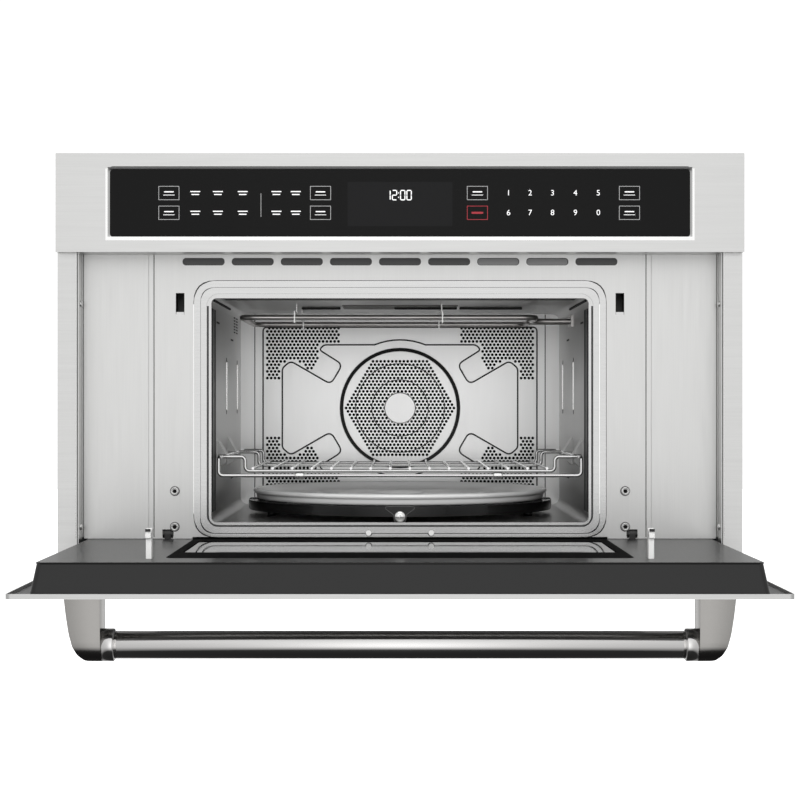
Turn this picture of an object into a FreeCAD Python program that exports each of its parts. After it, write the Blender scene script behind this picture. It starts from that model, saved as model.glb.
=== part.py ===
import FreeCAD, Part
import math
import os

# Built-in convection microwave with a drop-down door, in millimetres.
# While a piece is built, X runs right, Y back from the fascia's front face and Z up from the
# underside of the base. The door is built shut, then swung open about its hinge pins.

V = FreeCAD.Vector
RIGHT = V(1, 0, 0)
BACK = V(0, 1, 0)
UP = V(0, 0, 1)

# Overall sizes and sheet metal
FACE_W = 756.0            # width across the fascia
FACE_H = 486.0            # height from the base to the fascia's top
BODY_D = 560.0            # depth from the fascia's face to the rear panel
TRIM_LIP = 22.0           # side trim beyond the case, over the cabinet's edge
CASE_DROP = 10.0          # case below the fascia's top
SIDE_BAY = 166.0          # cavity wall inside the fascia's side
TOP_BAY = 156.0           # cavity ceiling below the fascia's top
REAR_BAY = 130.0          # cavity's back wall in front of the case's back
CAV_FLOOR = 77.0          # cavity floor above the base
SHEET = 1.2               # steel sheet thickness
BASE_T = 1.5              # base pan thickness
AIR = 0.3                 # clearance between pieces that move past each other
RUN = 0.05                # radial clearance of a pin in its bearing
HALF_FACE = FACE_W / 2
HALF_CASE = HALF_FACE - TRIM_LIP
HALF_BAY = HALF_CASE - SHEET
CASE_H = FACE_H - CASE_DROP
CAV_HALF = HALF_FACE - SIDE_BAY
CAV_CEILING = FACE_H - TOP_BAY
CAV_BACK = BODY_D - REAR_BAY

# Front plane set-backs
TRIM_Y = 12.0             # side trims behind the fascia's face
PLATE_Y = 38.0            # front plate behind the fascia's face
CABINET_Y = TRIM_Y + SHEET
PLATE_BACK = PLATE_Y + SHEET
PLATE_DROP = 15.0         # front plate's lower edge below the cavity floor
PLATE_Z = CAV_FLOOR - PLATE_DROP
REAR_Y = BODY_D - SHEET
ORIGIN_Y = (CABINET_Y + REAR_Y) / 2

# Fascia and its controls
FASCIA_H = 108.6
FASCIA_SKIN = 2.0
FASCIA_Z = FACE_H - FASCIA_H
FASCIA_R = 1.0
WINDOW_SIDE = 59.3        # window edge inside the fascia's side
WINDOW_HALF = HALF_FACE - WINDOW_SIDE
WINDOW_LOW = 16.5         # window edge above the fascia's lower edge
WINDOW_HIGH = 17.6        # window edge below the fascia's top
WINDOW_BEVEL = 3.0
WINDOW_R = 4.0
GLASS_T = 3.0
GLASS_LAP = 3.3           # control glass behind the window's edge
DISPLAY_HALF = 60.0
DISPLAY_H = 56.0
DISPLAY_T = 8.0
BOARD_SIDE = 18.7         # board inside the window's edge
BOARD_HALF = WINDOW_HALF - BOARD_SIDE
BOARD_H = 66.0
BOARD_T = 1.6
RELAY = (22.0, 14.0, 18.0)
RELAY_PLACES = (-0.8, -0.6, -0.4, 0.4, 0.6, 0.8)   # shares of the board's half-width

# Front plate
PLATE_LAP = 63.0          # front plate beyond the cavity's side
PLATE_HALF = CAV_HALF + PLATE_LAP
WIRING_HALF = 40.0
WIRING_H = 40.0
VENT_COUNT = 9
VENT_SIDE = 31.9          # end of the vent row inside the plate's edge
VENT_GAP = 7.9            # metal between two vents
VENT_PITCH = (2 * (PLATE_HALF - VENT_SIDE) + VENT_GAP) / VENT_COUNT
VENT_LENGTH = VENT_PITCH - VENT_GAP
VENT_H = 8.4
VENT_R = 0.45 * VENT_H
VENT_DROP = 7.7           # vent row below the fascia
CABINET_SCREW_LOW = 74.5
CABINET_SCREW_DROP = 54.6 # upper screw below the fascia
CABINET_SCREW_R = 2.6
CABINET_SCREW_Y = 25.0
LOWER_TRIM_H = 14.0
LOWER_TRIM_D = 12.0
RECESS_D = 75.0           # depth of the toe recess that the open door swings into
RECESS_GAP = 24.0         # gap in the recess's top for each hinge

# Cavity
CAV_R = 10.0
MOUTH_IN = 1.3            # front frame's opening inside the cavity walls
MOUTH_R = 6.0
FRAME_OUT = 18.2          # frame's outer edge outside the cavity wall
FRAME_STEP = 10.5         # raised step's outer edge outside the cavity wall
FRAME_STEP_LOW = CAV_FLOOR - FRAME_STEP
FRAME_GROOVE = 3.9        # groove's outer edge outside the cavity wall
FRAME_LIP = 1.4           # inner lip's outer edge outside the cavity wall
FRAME_OUT_T = 1.4
FRAME_STEP_T = 2.6
FRAME_GROOVE_T = 0.8
FRAME_LIP_T = 2.2
FRAME_R = 24.0
BUMPER_X = 35.0
BUMPER_R = 3.0
BUMPER_T = 2.7

# Embossed back wall: quarter outline of the raised cross, from the fan's centre, in shares of
# the cavity's half-width
FAN_LIFT = 1.5            # fan above the middle of the cavity
FAN_Z = (CAV_FLOOR + CAV_CEILING) / 2 + FAN_LIFT
CROSS_SHARES = ((0.486, 0.396), (0.505, 0.366), (0.368, 0.271), (0.429, 0.151), (0.682, 0.283), (0.741, 0.25))
CROSS_T = 3.0
DISH_R = 0.375 * CAV_HALF
DISH_RING = 3.0

# Convection unit
HOUSING_SIDE = 62.0       # housing inside the cavity's wall
HOUSING_HALF = CAV_HALF - HOUSING_SIDE
HOUSING_D = 69.0
HOUSING_RISE = 110.0      # housing above and below the fan's centre
HOUSING_LOW = FAN_Z - HOUSING_RISE
HOUSING_HIGH = FAN_Z + HOUSING_RISE
HEATER_R = 60.0
TUBE_R = 3.25
HEATER_Y = 24.0           # heater behind the back wall
HEATER_LEAD_X = 12.0
LEAD_OUT = 9.0
FAN_R = 50.0
FAN_T = 1.5
FAN_BLADES = 8
FAN_DEPTH = 24.0
FAN_Y = 38.0              # fan disc behind the back wall
FAN_HUB_R = 9.0
MOTOR_SHAFT_R = 3.0
CONV_MOTOR_R = 36.0
CONV_MOTOR_L = 43.0
CONV_FLANGE = 45.0
CONV_FLANGE_T = 2.0
SHAFT_IN = 28.0           # shaft length inside a motor

# Turntable
TABLE_SHIFT = 1.4         # turntable behind the middle of the cavity
TABLE_SIDE = 28.0         # support ring inside the side walls
TABLE_DEEP = 11.4         # support ring inside the cavity's front and back
TABLE_Y = (PLATE_BACK + CAV_BACK) / 2 + TABLE_SHIFT
WHEEL_R = 6.7
WHEEL_T = 5.0
WHEEL_COUNT = 3
WHEEL_PIN_R = 1.5
SUPPORT_R = min(CAV_HALF - TABLE_SIDE, (CAV_BACK - PLATE_BACK) / 2 - TABLE_DEEP)
SUPPORT_SKIRT = 3.0
SUPPORT_SKIRT_LIFT = 6.5  # skirt above the floor
SUPPORT_TOP_LIFT = 18.0   # tray seat above the floor
SUPPORT_SEAT = 14.0       # width of the ring that the tray sits on
SUPPORT_SEAT_T = 5.0
ARM_W = 18.0
HUB_R = 16.0
HUB_LIFT = 2.0
DRIVE_R = 3.5
DRIVE_IN = 14.0
FLOOR_HOLE_R = 12.0
TRAY_IN = 5.0             # tray's rim inside the support ring
TRAY_FLARE = 7.0
TRAY_R = SUPPORT_R - TRAY_IN
TRAY_FOOT_R = TRAY_R - TRAY_FLARE
TRAY_H = 12.0
TRAY_T = 3.5
TABLE_MOTOR_R = 24.5
TABLE_MOTOR_H = 20.0
TABLE_EAR = 32.0
TABLE_EAR_T = 1.5

# Rack
RAIL_GAP = 8.0            # rail's centre line inside the cavity wall
RAIL_RISE = 73.0          # rails above the cavity floor
RACK_IN = 12.8            # rack behind the front plate
RACK_SPACE = 30.0         # free space behind the rack
RACK_DROP = 20.0          # front edge below the rails
GRID_DROP = 16.5          # cross bars below the rails
RISER_IN = 26.0           # cross bars' risers inside the rails
RAIL_X = CAV_HALF - RAIL_GAP
RAIL_Z = CAV_FLOOR + RAIL_RISE
RACK_FRONT = PLATE_BACK + RACK_IN
RACK_BACK = CAV_BACK - RACK_SPACE
RISER_X = RAIL_X - RISER_IN
BAR_R = 2.0
GRID_R = 1.6
GRID_COUNT = 16
GRID_SIDE = 9.0           # outermost grid wire inside the riser
GRID_PITCH = 2 * (RISER_X - GRID_SIDE) / (GRID_COUNT - 1)
GRID_LIFT = 3.0           # grid wires above the bars that carry them
RACK_BARS = (0.129, 0.718, 0.948)  # cross bars as shares of the rack's length
RACK_BEND = 5.0
RAIL_END = 2.0
SUPPORT_YS = (110.0, 240.0)
SUPPORT_L = 30.0
SUPPORT_OUT = 10.5
SUPPORT_FOOT = 12.0
SUPPORT_LEDGE_T = 4.7
SUPPORT_WEB = 1.5
SUPPORT_WEDGE_H = 18.0

# Broil element
BROIL_DROP = 18.0         # element below the ceiling
BROIL_BACK = 293.0        # front leg before the back wall
BROIL_GAP = 197.0         # rear leg behind the front leg
BROIL_SIDE = 26.0         # left leg inside the left wall
BROIL_TURN = 52.0         # right legs inside the right wall
BROIL_BEND = 16.0
BROIL_LEADS = (103.0, 127.0)   # leads behind the front leg
BROIL_Z = CAV_CEILING - BROIL_DROP
BROIL_Y = CAV_BACK - BROIL_BACK
BROIL_REAR = BROIL_Y + BROIL_GAP
BROIL_OUT = 13.0          # leads beyond the right wall
BROIL_FLANGE_T = 3.0
BROIL_FLANGE_H = 14.0
BROIL_FLANGE_LAP = 9.0
CLIP_SHARES = (-0.585, 0.231)  # clips, in shares of the cavity's half width
CLIP_T = 1.5
CLIP_LAP = 6.5            # clip round each leg
CLIP_BEAM = 4.0
CLIP_POSTS = (40.0, 160.0)     # posts behind the front leg
CLIP_POST_W = 12.0

# Microwave power parts
GUIDE_X0 = -100.0
GUIDE_X1 = 190.0
GUIDE_D = 100.0
GUIDE_BACK = 135.0        # waveguide and blower before the cavity's back wall
GUIDE_Y1 = CAV_BACK - GUIDE_BACK
GUIDE_Y0 = GUIDE_Y1 - GUIDE_D
GUIDE_MID = (GUIDE_Y0 + GUIDE_Y1) / 2
GUIDE_H = 26.0
FEED_HALF = 60.0
FEED_DEEP = 30.0          # half the feed opening's depth
COVER_LAP = 10.0
COVER_T = 1.0
MAG_X = 135.0
MAG_HALF = 45.0
MAG_FIN_T = 2.0
MAG_FINS = 7
MAG_H = 96.0
MAG_CORE = 30.0
ANTENNA_R = 8.0
ANTENNA_L = 16.0
BOX_X = (CAV_HALF + HALF_BAY) / 2   # centre line of the power parts beside the cavity
TRANS_CORE = (92.0, 78.0, 84.0)
TRANS_COIL = (70.0, 110.0, 46.0)
TRANS_BACK = 130.0        # transformer's front before the cavity's back wall
TRANS_Y = CAV_BACK - TRANS_BACK
CAP_HALF = 26.0
CAP_D = 100.0
CAP_H = 36.0
CAP_R = 0.48 * CAP_H
CAP_TAG = (13.0, 9.0, 6.0)
CAP_TAG_LIFT = 12.0
CAP_Y = CAV_BACK
POWER_HALF = 56.0
POWER_Y0 = 110.0
POWER_BACK = 100.0        # power board's back before the cavity's back wall
POWER_Y1 = CAV_BACK - POWER_BACK
POWER_LIFT = 10.0
STANDOFF_R = 4.0
HEATSINK = (20.0, 80.0, 45.0)

# Cooling blower
BLOW_SIDE = 109.8         # blower's axis inside the case
BLOW_X = BLOW_SIDE - HALF_BAY
BLOW_HALF = 65.0
BLOW_H = 134.0
BLOW_D = 90.0
BLOW_Y1 = CAV_BACK - GUIDE_BACK
BLOW_Y0 = BLOW_Y1 - BLOW_D
BLOW_R = 50.0
BLOW_SCROLL = 57.0
BLOW_INLET_R = 36.0
BLOW_WALL = 2.0
BLOW_BLADES = 20
BLOW_BLADE = (9.0, 1.2)
BLOW_HUB_R = 7.0
BLOW_MOTOR_R = 30.0
BLOW_MOTOR_L = 50.0
OUTLET_H = 40.0

# Lamp, latches and hinges
LAMP_BACK = 75.0          # lamp before the back wall
LAMP_DROP = 40.0          # lamp below the ceiling
LAMP_Y = CAV_BACK - LAMP_BACK
LAMP_Z = CAV_CEILING - LAMP_DROP
LAMP_R = 14.0
LAMP_BOX = (28.0, 50.0, 44.0)
LATCH_OUT = 33.8          # latch slots outside the cavity wall
LATCH_DROP = 19.4         # latch slots' lower edge below the cavity ceiling
LATCH_X = CAV_HALF + LATCH_OUT
LATCH_SLOT_W = 9.6
LATCH_SLOT_LOW = CAV_CEILING - LATCH_DROP
LATCH_SLOT_H = 24.0
CATCH_W = 20.0
CATCH_D = 43.0
CATCH_H = 45.0
CATCH_WALL = 3.0
SWITCH = (10.0, 30.0, 28.0)
HINGE_IN = 2.0            # hinge axis behind the front plate's face
HINGE_RISE = 3.0          # hinge axis above the front plate's lower edge
HINGE_OUT = 47.4          # hinges outside the cavity wall
HINGE_Y = PLATE_Y + HINGE_IN
HINGE_Z = PLATE_Z + HINGE_RISE
HINGE_X = CAV_HALF + HINGE_OUT
PIN_R = 2.5
KNUCKLE_R = 4.9
KNUCKLE_W = 6.8
HINGE_SLOT_FIT = 0.5
EAR_T = 2.0
EAR_D = 20.8
EAR_R = 4.6
EAR_HIGH = 15.0
TAB_W = 9.0
TAB_H = 60.0              # bracket's tab above the front plate's lower edge
PLATE_SCREW_OUT = 39.7    # screws outside the cavity wall
PLATE_SCREW_RISES = (11.4, 51.3)
PLATE_SCREW_X = CAV_HALF + PLATE_SCREW_OUT
PLATE_SCREW_ZS = [PLATE_Z + rise for rise in PLATE_SCREW_RISES]
PLATE_SCREW_R = 1.75
PLATE_HEAD_R = 4.5
PLATE_HEAD_T = 2.2
PLATE_SCREW_L = 9.0
SOCKET_R = 2.0

# Door
SHUT_GAP = 3.4            # shut door's inner face before the front plate
DOOR_SIDE = 2.0           # door's edge inside the fascia's side
DOOR_GAP = 3.0            # shut door's top below the fascia
DOOR_DROP = 27.0          # shut door's lower edge below the hinge
TAIL_RISE = 31.0          # up to here the skin is narrow, to tuck between the trims
DOOR_T = PLATE_Y - SHUT_GAP
DOOR_HALF = HALF_FACE - DOOR_SIDE
DOOR_LOW = HINGE_Z - DOOR_DROP
DOOR_TOP = FASCIA_Z - DOOR_GAP
TAIL_TOP = HINGE_Z + TAIL_RISE
TAIL_GAP = 1.3
EDGE_D = 5.0
EDGE_R = 5.0
LINER_INSET = 4.0
LINER_T = 2.5
LINER_DRAFT = 6.0
LINER_R = 6.0
TAIL_HALF = HALF_BAY - TAIL_GAP
OUT_WIN_SIDE = 108.0      # outer window inside the door's edge
OUT_WIN_RISE = 49.0       # above the door's lower edge
OUT_WIN_DROP = 91.4       # below the door's top
OUT_WIN_HALF = DOOR_HALF - OUT_WIN_SIDE
OUT_WIN_LOW = DOOR_LOW + OUT_WIN_RISE
OUT_WIN_TOP = DOOR_TOP - OUT_WIN_DROP
OUT_WIN_R = 8.0
OUT_GLASS_LAP = 7.0
OUT_GLASS_T = 4.0
IN_GLASS_OUT = 18.0       # inner glass outside the cavity wall
IN_GLASS_UNDER = 27.0     # inner glass below the cavity floor
IN_GLASS_UNTIL = 12.0     # inner glass short of the cavity ceiling
IN_GLASS_HALF = CAV_HALF + IN_GLASS_OUT
IN_GLASS_LOW = CAV_FLOOR - IN_GLASS_UNDER
IN_GLASS_TOP = CAV_CEILING - IN_GLASS_UNTIL
IN_GLASS_T = 4.0
IN_GLASS_R = 8.0
IN_GLASS_DROP = 0.4       # glass face below the liner's face
IN_GLASS_FIT = 0.4
GLASS_LEDGE = 12.0
GLASS_FRAME_T = 4.2
GLASS_FRAME_LAP = 3.0
SCREEN_T = 1.2
SCREEN_LAP = 2.0

# Door handle
BAR_RADIUS = 13.5
BAR_STAND = 49.0
BAR_DROP = 45.4           # bar below the shut door's top
FERRULE_R = 15.9
FERRULE_L = 12.3
BRACKET_SIDE = 50.1       # bracket's foot inside the door's edge
BRACKET_W = 35.9
BRACKET_SWEEP = 17.3      # narrowing of the bracket from its foot to its tip
BRACKET_BOW = 3.9         # narrowing half-way along its curved outer edge
BRACKET_REACH = 65.0
BAR_Z = DOOR_TOP - BAR_DROP
BRACKET_FOOT = DOOR_HALF - BRACKET_SIDE
BRACKET_IN = BRACKET_FOOT - BRACKET_W
BAR_HALF = BRACKET_IN - FERRULE_L
BRACKET_DEPTH = 32.0
BRACKET_R = 3.0
HANDLE_SCREW_R = 2.5
HANDLE_SCREW_IN = 14.0
HANDLE_HEAD_R = 4.5
HANDLE_HEAD_T = 3.0
HANDLE_SCREW_GAP = 18.0
HANDLE_SCREW_SIDE = 14.0
HANDLE_SCREW_X = BRACKET_IN + HANDLE_SCREW_SIDE

# Latch hooks, in the shut door
HOOK_DEEP = 10.6          # pivot below the door's inner face
HOOK_RISE = 8.4           # pivot above the latch slot's lower edge
HOOK_Y = DOOR_T - HOOK_DEEP
HOOK_Z = LATCH_SLOT_LOW + HOOK_RISE
HOOK_W = 5.4
HOOK_H = 10.0
HOOK_OUT = 29.5           # hook's reach off the door's inner face
HOOK_BARB = 5.0
HOOK_BARB_L = 9.0
HOOK_BARREL_R = 4.0
HOOK_BARREL_W = 8.0
TRUNNION_R = 2.0
CARRIER_EAR = 2.0
CARRIER_H = 12.0
CARRIER_BRIDGE = 2.0
HOOK_SLOT_FIT = 2.5
ARM_FOOT = (19.0, 3.0, 80.0)
ARM_SLOT_FIT = 0.6

# Rear panel and cord entry
REAR_SLOTS = 10
REAR_SLOT_L = 36.0
REAR_SLOT_H = 5.0
REAR_SLOT_R = 0.4 * REAR_SLOT_H
REAR_SLOT_SIDE = 84.8     # slot rows inside the case's side
REAR_SLOT_PITCH = (2 * (HALF_BAY - REAR_SLOT_SIDE) - REAR_SLOT_L) / (REAR_SLOTS - 1)
REAR_LOW_ROW = 110.0
REAR_TOP_ROWS = (126.0, 106.0, 86.0)   # below the case's top
REAR_SCREW_IN = 9.0
REAR_SCREW_R = 2.0
REAR_HEAD_R = 4.0
REAR_HEAD_T = 2.5
GLAND_SIDE = 44.8         # cord gland inside the case's side
GLAND_X = HALF_BAY - GLAND_SIDE
GLAND_Z = 150.0
GLAND_R = 4.5
GLAND_BODY_R = 8.0
GLAND_FLANGE_R = 12.0
GLAND_FLANGE_T = 3.0
GLAND_IN = 8.0


# Building helpers

def block(x0, x1, y0, y1, z0, z1):
    return Part.makeBox(x1 - x0, y1 - y0, z1 - z0, V(x0, y0, z0))


def rod(start, direction, radius, length):
    return Part.makeCylinder(radius, length, start, direction)


def bent_rod(corners, bend, radius):
    """Round bar through square corners, each turned in a bend."""
    edges = []
    start = corners[0]
    for before, corner, after in zip(corners, corners[1:], corners[2:]):
        to_corner = (corner - before).normalize()
        from_corner = (after - corner).normalize()
        bend_in = corner - to_corner * bend
        bend_out = corner + from_corner * bend
        mid = corner + (from_corner - to_corner) * (bend * (1 - math.sqrt(0.5)))
        edges.append(Part.LineSegment(start, bend_in).toShape())
        edges.append(Part.Arc(bend_in, mid, bend_out).toShape())
        start = bend_out
    edges.append(Part.LineSegment(start, corners[-1]).toShape())
    section = Part.Wire(Part.Circle(corners[0], corners[1] - corners[0], radius).toShape())
    return Part.Wire(edges).makePipeShell([section], True, True)


def round_rect(half, z0, z1, y, radius, middle=0.0):
    """Rounded rectangle facing the front, as a closed wire."""
    x0, x1 = middle - half, middle + half
    inset = radius * (1 - math.sqrt(0.5))
    corners = (
        (V(x1 - radius, y, z0), V(x1 - inset, y, z0 + inset), V(x1, y, z0 + radius)),
        (V(x1, y, z1 - radius), V(x1 - inset, y, z1 - inset), V(x1 - radius, y, z1)),
        (V(x0 + radius, y, z1), V(x0 + inset, y, z1 - inset), V(x0, y, z1 - radius)),
        (V(x0, y, z0 + radius), V(x0 + inset, y, z0 + inset), V(x0 + radius, y, z0)),
    )
    edges = []
    for here, after in zip(corners, corners[1:] + corners[:1]):
        edges.append(Part.Arc(*here).toShape())
        edges.append(Part.LineSegment(here[2], after[0]).toShape())
    return Part.Wire(edges)


def slab(half, z0, z1, y0, y1, radius, middle=0.0):
    """Plate with rounded corners, seen from the front, between two depths."""
    return Part.Face(round_rect(half, z0, z1, y0, radius, middle)).extrude(V(0, y1 - y0, 0))


def prism(points, direction):
    """Straight-sided solid on a closed outline."""
    return Part.Face(Part.makePolygon(list(points) + [points[0]])).extrude(direction)


def mirrored(shape):
    return shape.mirror(V(0, 0, 0), RIGHT)


def both_sides(shape):
    return [shape, mirrored(shape)]


def fused(shapes):
    shape = shapes[0].fuse(shapes[1:])
    return shape.removeSplitter()


def cut_all(shape, tools):
    return shape.cut(Part.makeCompound(tools))


def swung_open(shape):
    """A piece of the shut door, turned down about the hinge pins."""
    shape = shape.copy()
    shape.rotate(V(0, HINGE_Y, HINGE_Z), RIGHT, 90)
    return shape


def write(node, *solids):
    """One file per node, with the origin at the centre of the base's underside."""
    shape = solids[0].copy() if len(solids) == 1 else Part.makeCompound([s.copy() for s in solids])
    shape.translate(V(0, -ORIGIN_Y, 0))
    shape.exportStep("parts/" + node + ".step")


# Case

def base_pan():
    floor = block(-HALF_BAY, HALF_BAY, CABINET_Y, REAR_Y, 0, BASE_T)
    wall = block(-HALF_BAY, HALF_BAY, RECESS_D, RECESS_D + SHEET, BASE_T, PLATE_Z + SHEET)
    top = block(-HALF_BAY, HALF_BAY, PLATE_BACK, RECESS_D, PLATE_Z, PLATE_Z + SHEET)
    gap = block(HINGE_X - RECESS_GAP / 2, HINGE_X + RECESS_GAP / 2, PLATE_BACK, RECESS_D,
                PLATE_Z, PLATE_Z + SHEET)
    return cut_all(fused([floor, wall, top]), both_sides(gap))


def outer_wrapper():
    outside = block(-HALF_CASE, HALF_CASE, PLATE_BACK, BODY_D, 0, CASE_H)
    inside = block(-HALF_BAY, HALF_BAY, PLATE_BACK, BODY_D, 0, CASE_H - SHEET)
    return outside.cut(inside)


def rear_screw_places():
    xs = (-HALF_BAY + REAR_SCREW_IN, 0, HALF_BAY - REAR_SCREW_IN)
    zs = (BASE_T + REAR_SCREW_IN, CASE_H - SHEET - REAR_SCREW_IN)
    return [V(x, BODY_D, z) for x in xs for z in zs]


def rear_panel():
    panel = block(-HALF_BAY, HALF_BAY, REAR_Y, BODY_D, BASE_T, CASE_H - SHEET)
    first = -REAR_SLOT_PITCH * (REAR_SLOTS - 1) / 2
    cuts = []
    for row in [REAR_LOW_ROW] + [CASE_H - drop for drop in REAR_TOP_ROWS]:
        for i in range(REAR_SLOTS):
            cuts.append(slab(REAR_SLOT_L / 2, row, row + REAR_SLOT_H, REAR_Y, BODY_D,
                             REAR_SLOT_R, first + i * REAR_SLOT_PITCH))
    for place in rear_screw_places():
        cuts.append(rod(place, -BACK, REAR_SCREW_R, SHEET))
    cuts.append(rod(V(GLAND_X, REAR_Y, GLAND_Z), BACK, GLAND_BODY_R, SHEET))
    return cut_all(panel, cuts)


def rear_panel_screws():
    screws = []
    for place in rear_screw_places():
        head = rod(place, BACK, REAR_HEAD_R, REAR_HEAD_T)
        shank = rod(place, -BACK, REAR_SCREW_R, REAR_SCREW_IN)
        screws.append(fused([head, shank]))
    return screws


def cord_gland():
    flange = rod(V(GLAND_X, BODY_D, GLAND_Z), BACK, GLAND_FLANGE_R, GLAND_FLANGE_T)
    body = rod(V(GLAND_X, BODY_D - GLAND_IN, GLAND_Z), BACK, GLAND_BODY_R, GLAND_IN)
    hole = rod(V(GLAND_X, BODY_D - GLAND_IN, GLAND_Z), BACK, GLAND_R, GLAND_IN + GLAND_FLANGE_T)
    return fused([flange, body]).cut(hole)


# Front face

def front_plate():
    lower = block(-PLATE_HALF, PLATE_HALF, PLATE_Y, PLATE_BACK, PLATE_Z, FASCIA_Z)
    upper = block(-HALF_BAY, HALF_BAY, PLATE_Y, PLATE_BACK, FASCIA_Z, CASE_H - SHEET)
    middle = (FASCIA_Z + CASE_H) / 2
    cuts = [
        slab(CAV_HALF, CAV_FLOOR, CAV_CEILING, PLATE_Y, PLATE_BACK, CAV_R),
        block(-WIRING_HALF, WIRING_HALF, PLATE_Y, PLATE_BACK, middle - WIRING_H / 2, middle + WIRING_H / 2),
    ]
    vent_z = FASCIA_Z - VENT_DROP
    for i in range(VENT_COUNT):
        x = (i - (VENT_COUNT - 1) / 2) * VENT_PITCH
        cuts.append(slab(VENT_LENGTH / 2, vent_z - VENT_H / 2, vent_z + VENT_H / 2, PLATE_Y, PLATE_BACK,
                         VENT_R, x))
    latch = block(LATCH_X - LATCH_SLOT_W / 2, LATCH_X + LATCH_SLOT_W / 2, PLATE_Y, PLATE_BACK,
                  LATCH_SLOT_LOW, LATCH_SLOT_LOW + LATCH_SLOT_H)
    hinge_half = pin_length() / 2 + HINGE_SLOT_FIT
    hinge = block(HINGE_X - hinge_half, HINGE_X + hinge_half, PLATE_Y, PLATE_BACK,
                  PLATE_Z, HINGE_Z + KNUCKLE_R + HINGE_SLOT_FIT)
    cuts += both_sides(latch) + both_sides(hinge)
    for z in PLATE_SCREW_ZS:
        cuts += both_sides(rod(V(PLATE_SCREW_X, PLATE_Y, z), BACK, PLATE_SCREW_R, SHEET))
    return cut_all(fused([lower, upper]), cuts)


def filler_panel():
    return block(PLATE_HALF, HALF_BAY, PLATE_Y, PLATE_BACK, PLATE_Z, FASCIA_Z)


def side_trim():
    face = block(HALF_BAY, HALF_FACE, TRIM_Y, CABINET_Y, 0, FASCIA_Z)
    flange = block(HALF_BAY, HALF_CASE, CABINET_Y, PLATE_BACK, 0, FASCIA_Z)
    holes = []
    for z in (CABINET_SCREW_LOW, FASCIA_Z - CABINET_SCREW_DROP):
        holes.append(rod(V(HALF_BAY, CABINET_SCREW_Y, z), RIGHT, CABINET_SCREW_R, SHEET))
    return cut_all(fused([face, flange]), holes)


def lower_trim():
    face = block(-HALF_BAY, HALF_BAY, TRIM_Y, CABINET_Y, 0, LOWER_TRIM_H)
    lip = block(-HALF_BAY, HALF_BAY, CABINET_Y, CABINET_Y + LOWER_TRIM_D, LOWER_TRIM_H - SHEET, LOWER_TRIM_H)
    return fused([face, lip])


def control_fascia():
    outside = slab(HALF_FACE, FASCIA_Z, FACE_H, 0, CABINET_Y, FASCIA_R)
    inner = HALF_FACE - SHEET
    hollow = block(-inner, inner, FASCIA_SKIN, CABINET_Y, FASCIA_Z + SHEET, FACE_H - SHEET)
    sill = block(-HALF_BAY, HALF_BAY, FASCIA_SKIN, PLATE_Y, FASCIA_Z, FASCIA_Z + SHEET)
    low = FASCIA_Z + WINDOW_LOW
    high = FACE_H - WINDOW_HIGH
    near = round_rect(WINDOW_HALF + WINDOW_BEVEL, low - WINDOW_BEVEL, high + WINDOW_BEVEL, 0,
                      WINDOW_R + WINDOW_BEVEL)
    far = round_rect(WINDOW_HALF, low, high, FASCIA_SKIN, WINDOW_R)
    return fused([outside.cut(hollow), sill]).cut(Part.makeLoft([near, far], True, True))


def window_middle():
    return (FASCIA_Z + WINDOW_LOW + FACE_H - WINDOW_HIGH) / 2


def control_glass():
    return slab(WINDOW_HALF + GLASS_LAP, FASCIA_Z + WINDOW_LOW - GLASS_LAP, FACE_H - WINDOW_HIGH + GLASS_LAP,
                FASCIA_SKIN, FASCIA_SKIN + GLASS_T, WINDOW_R)


def display_module():
    front = FASCIA_SKIN + GLASS_T
    middle = window_middle()
    return block(-DISPLAY_HALF, DISPLAY_HALF, front, front + DISPLAY_T,
                 middle - DISPLAY_H / 2, middle + DISPLAY_H / 2)


def control_board():
    front = FASCIA_SKIN + GLASS_T + DISPLAY_T
    middle = window_middle()
    pieces = [block(-BOARD_HALF, BOARD_HALF, front, front + BOARD_T,
                    middle - BOARD_H / 2, middle + BOARD_H / 2)]
    for x in [share * BOARD_HALF for share in RELAY_PLACES]:
        pieces.append(block(x - RELAY[0] / 2, x + RELAY[0] / 2, front + BOARD_T, front + BOARD_T + RELAY[1],
                            middle - RELAY[2] / 2, middle + RELAY[2] / 2))
    return fused(pieces)


# Cavity

def cavity_shell():
    outside = slab(CAV_HALF + SHEET, CAV_FLOOR - SHEET, CAV_CEILING + SHEET,
                   PLATE_BACK, CAV_BACK, CAV_R + SHEET)
    inside = slab(CAV_HALF, CAV_FLOOR, CAV_CEILING, PLATE_BACK, CAV_BACK, CAV_R)
    cuts = [
        inside,
        rod(V(0, TABLE_Y, CAV_FLOOR - SHEET), UP, FLOOR_HOLE_R, SHEET),
        block(-FEED_HALF, FEED_HALF, GUIDE_MID - FEED_DEEP, GUIDE_MID + FEED_DEEP,
              CAV_CEILING, CAV_CEILING + SHEET),
        rod(V(-CAV_HALF - SHEET, LAMP_Y, LAMP_Z), RIGHT, LAMP_R, SHEET),
    ]
    for place in BROIL_LEADS:
        cuts.append(rod(V(CAV_HALF, BROIL_Y + place, BROIL_Z), RIGHT, TUBE_R, SHEET))
    return cut_all(outside, cuts)


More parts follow.
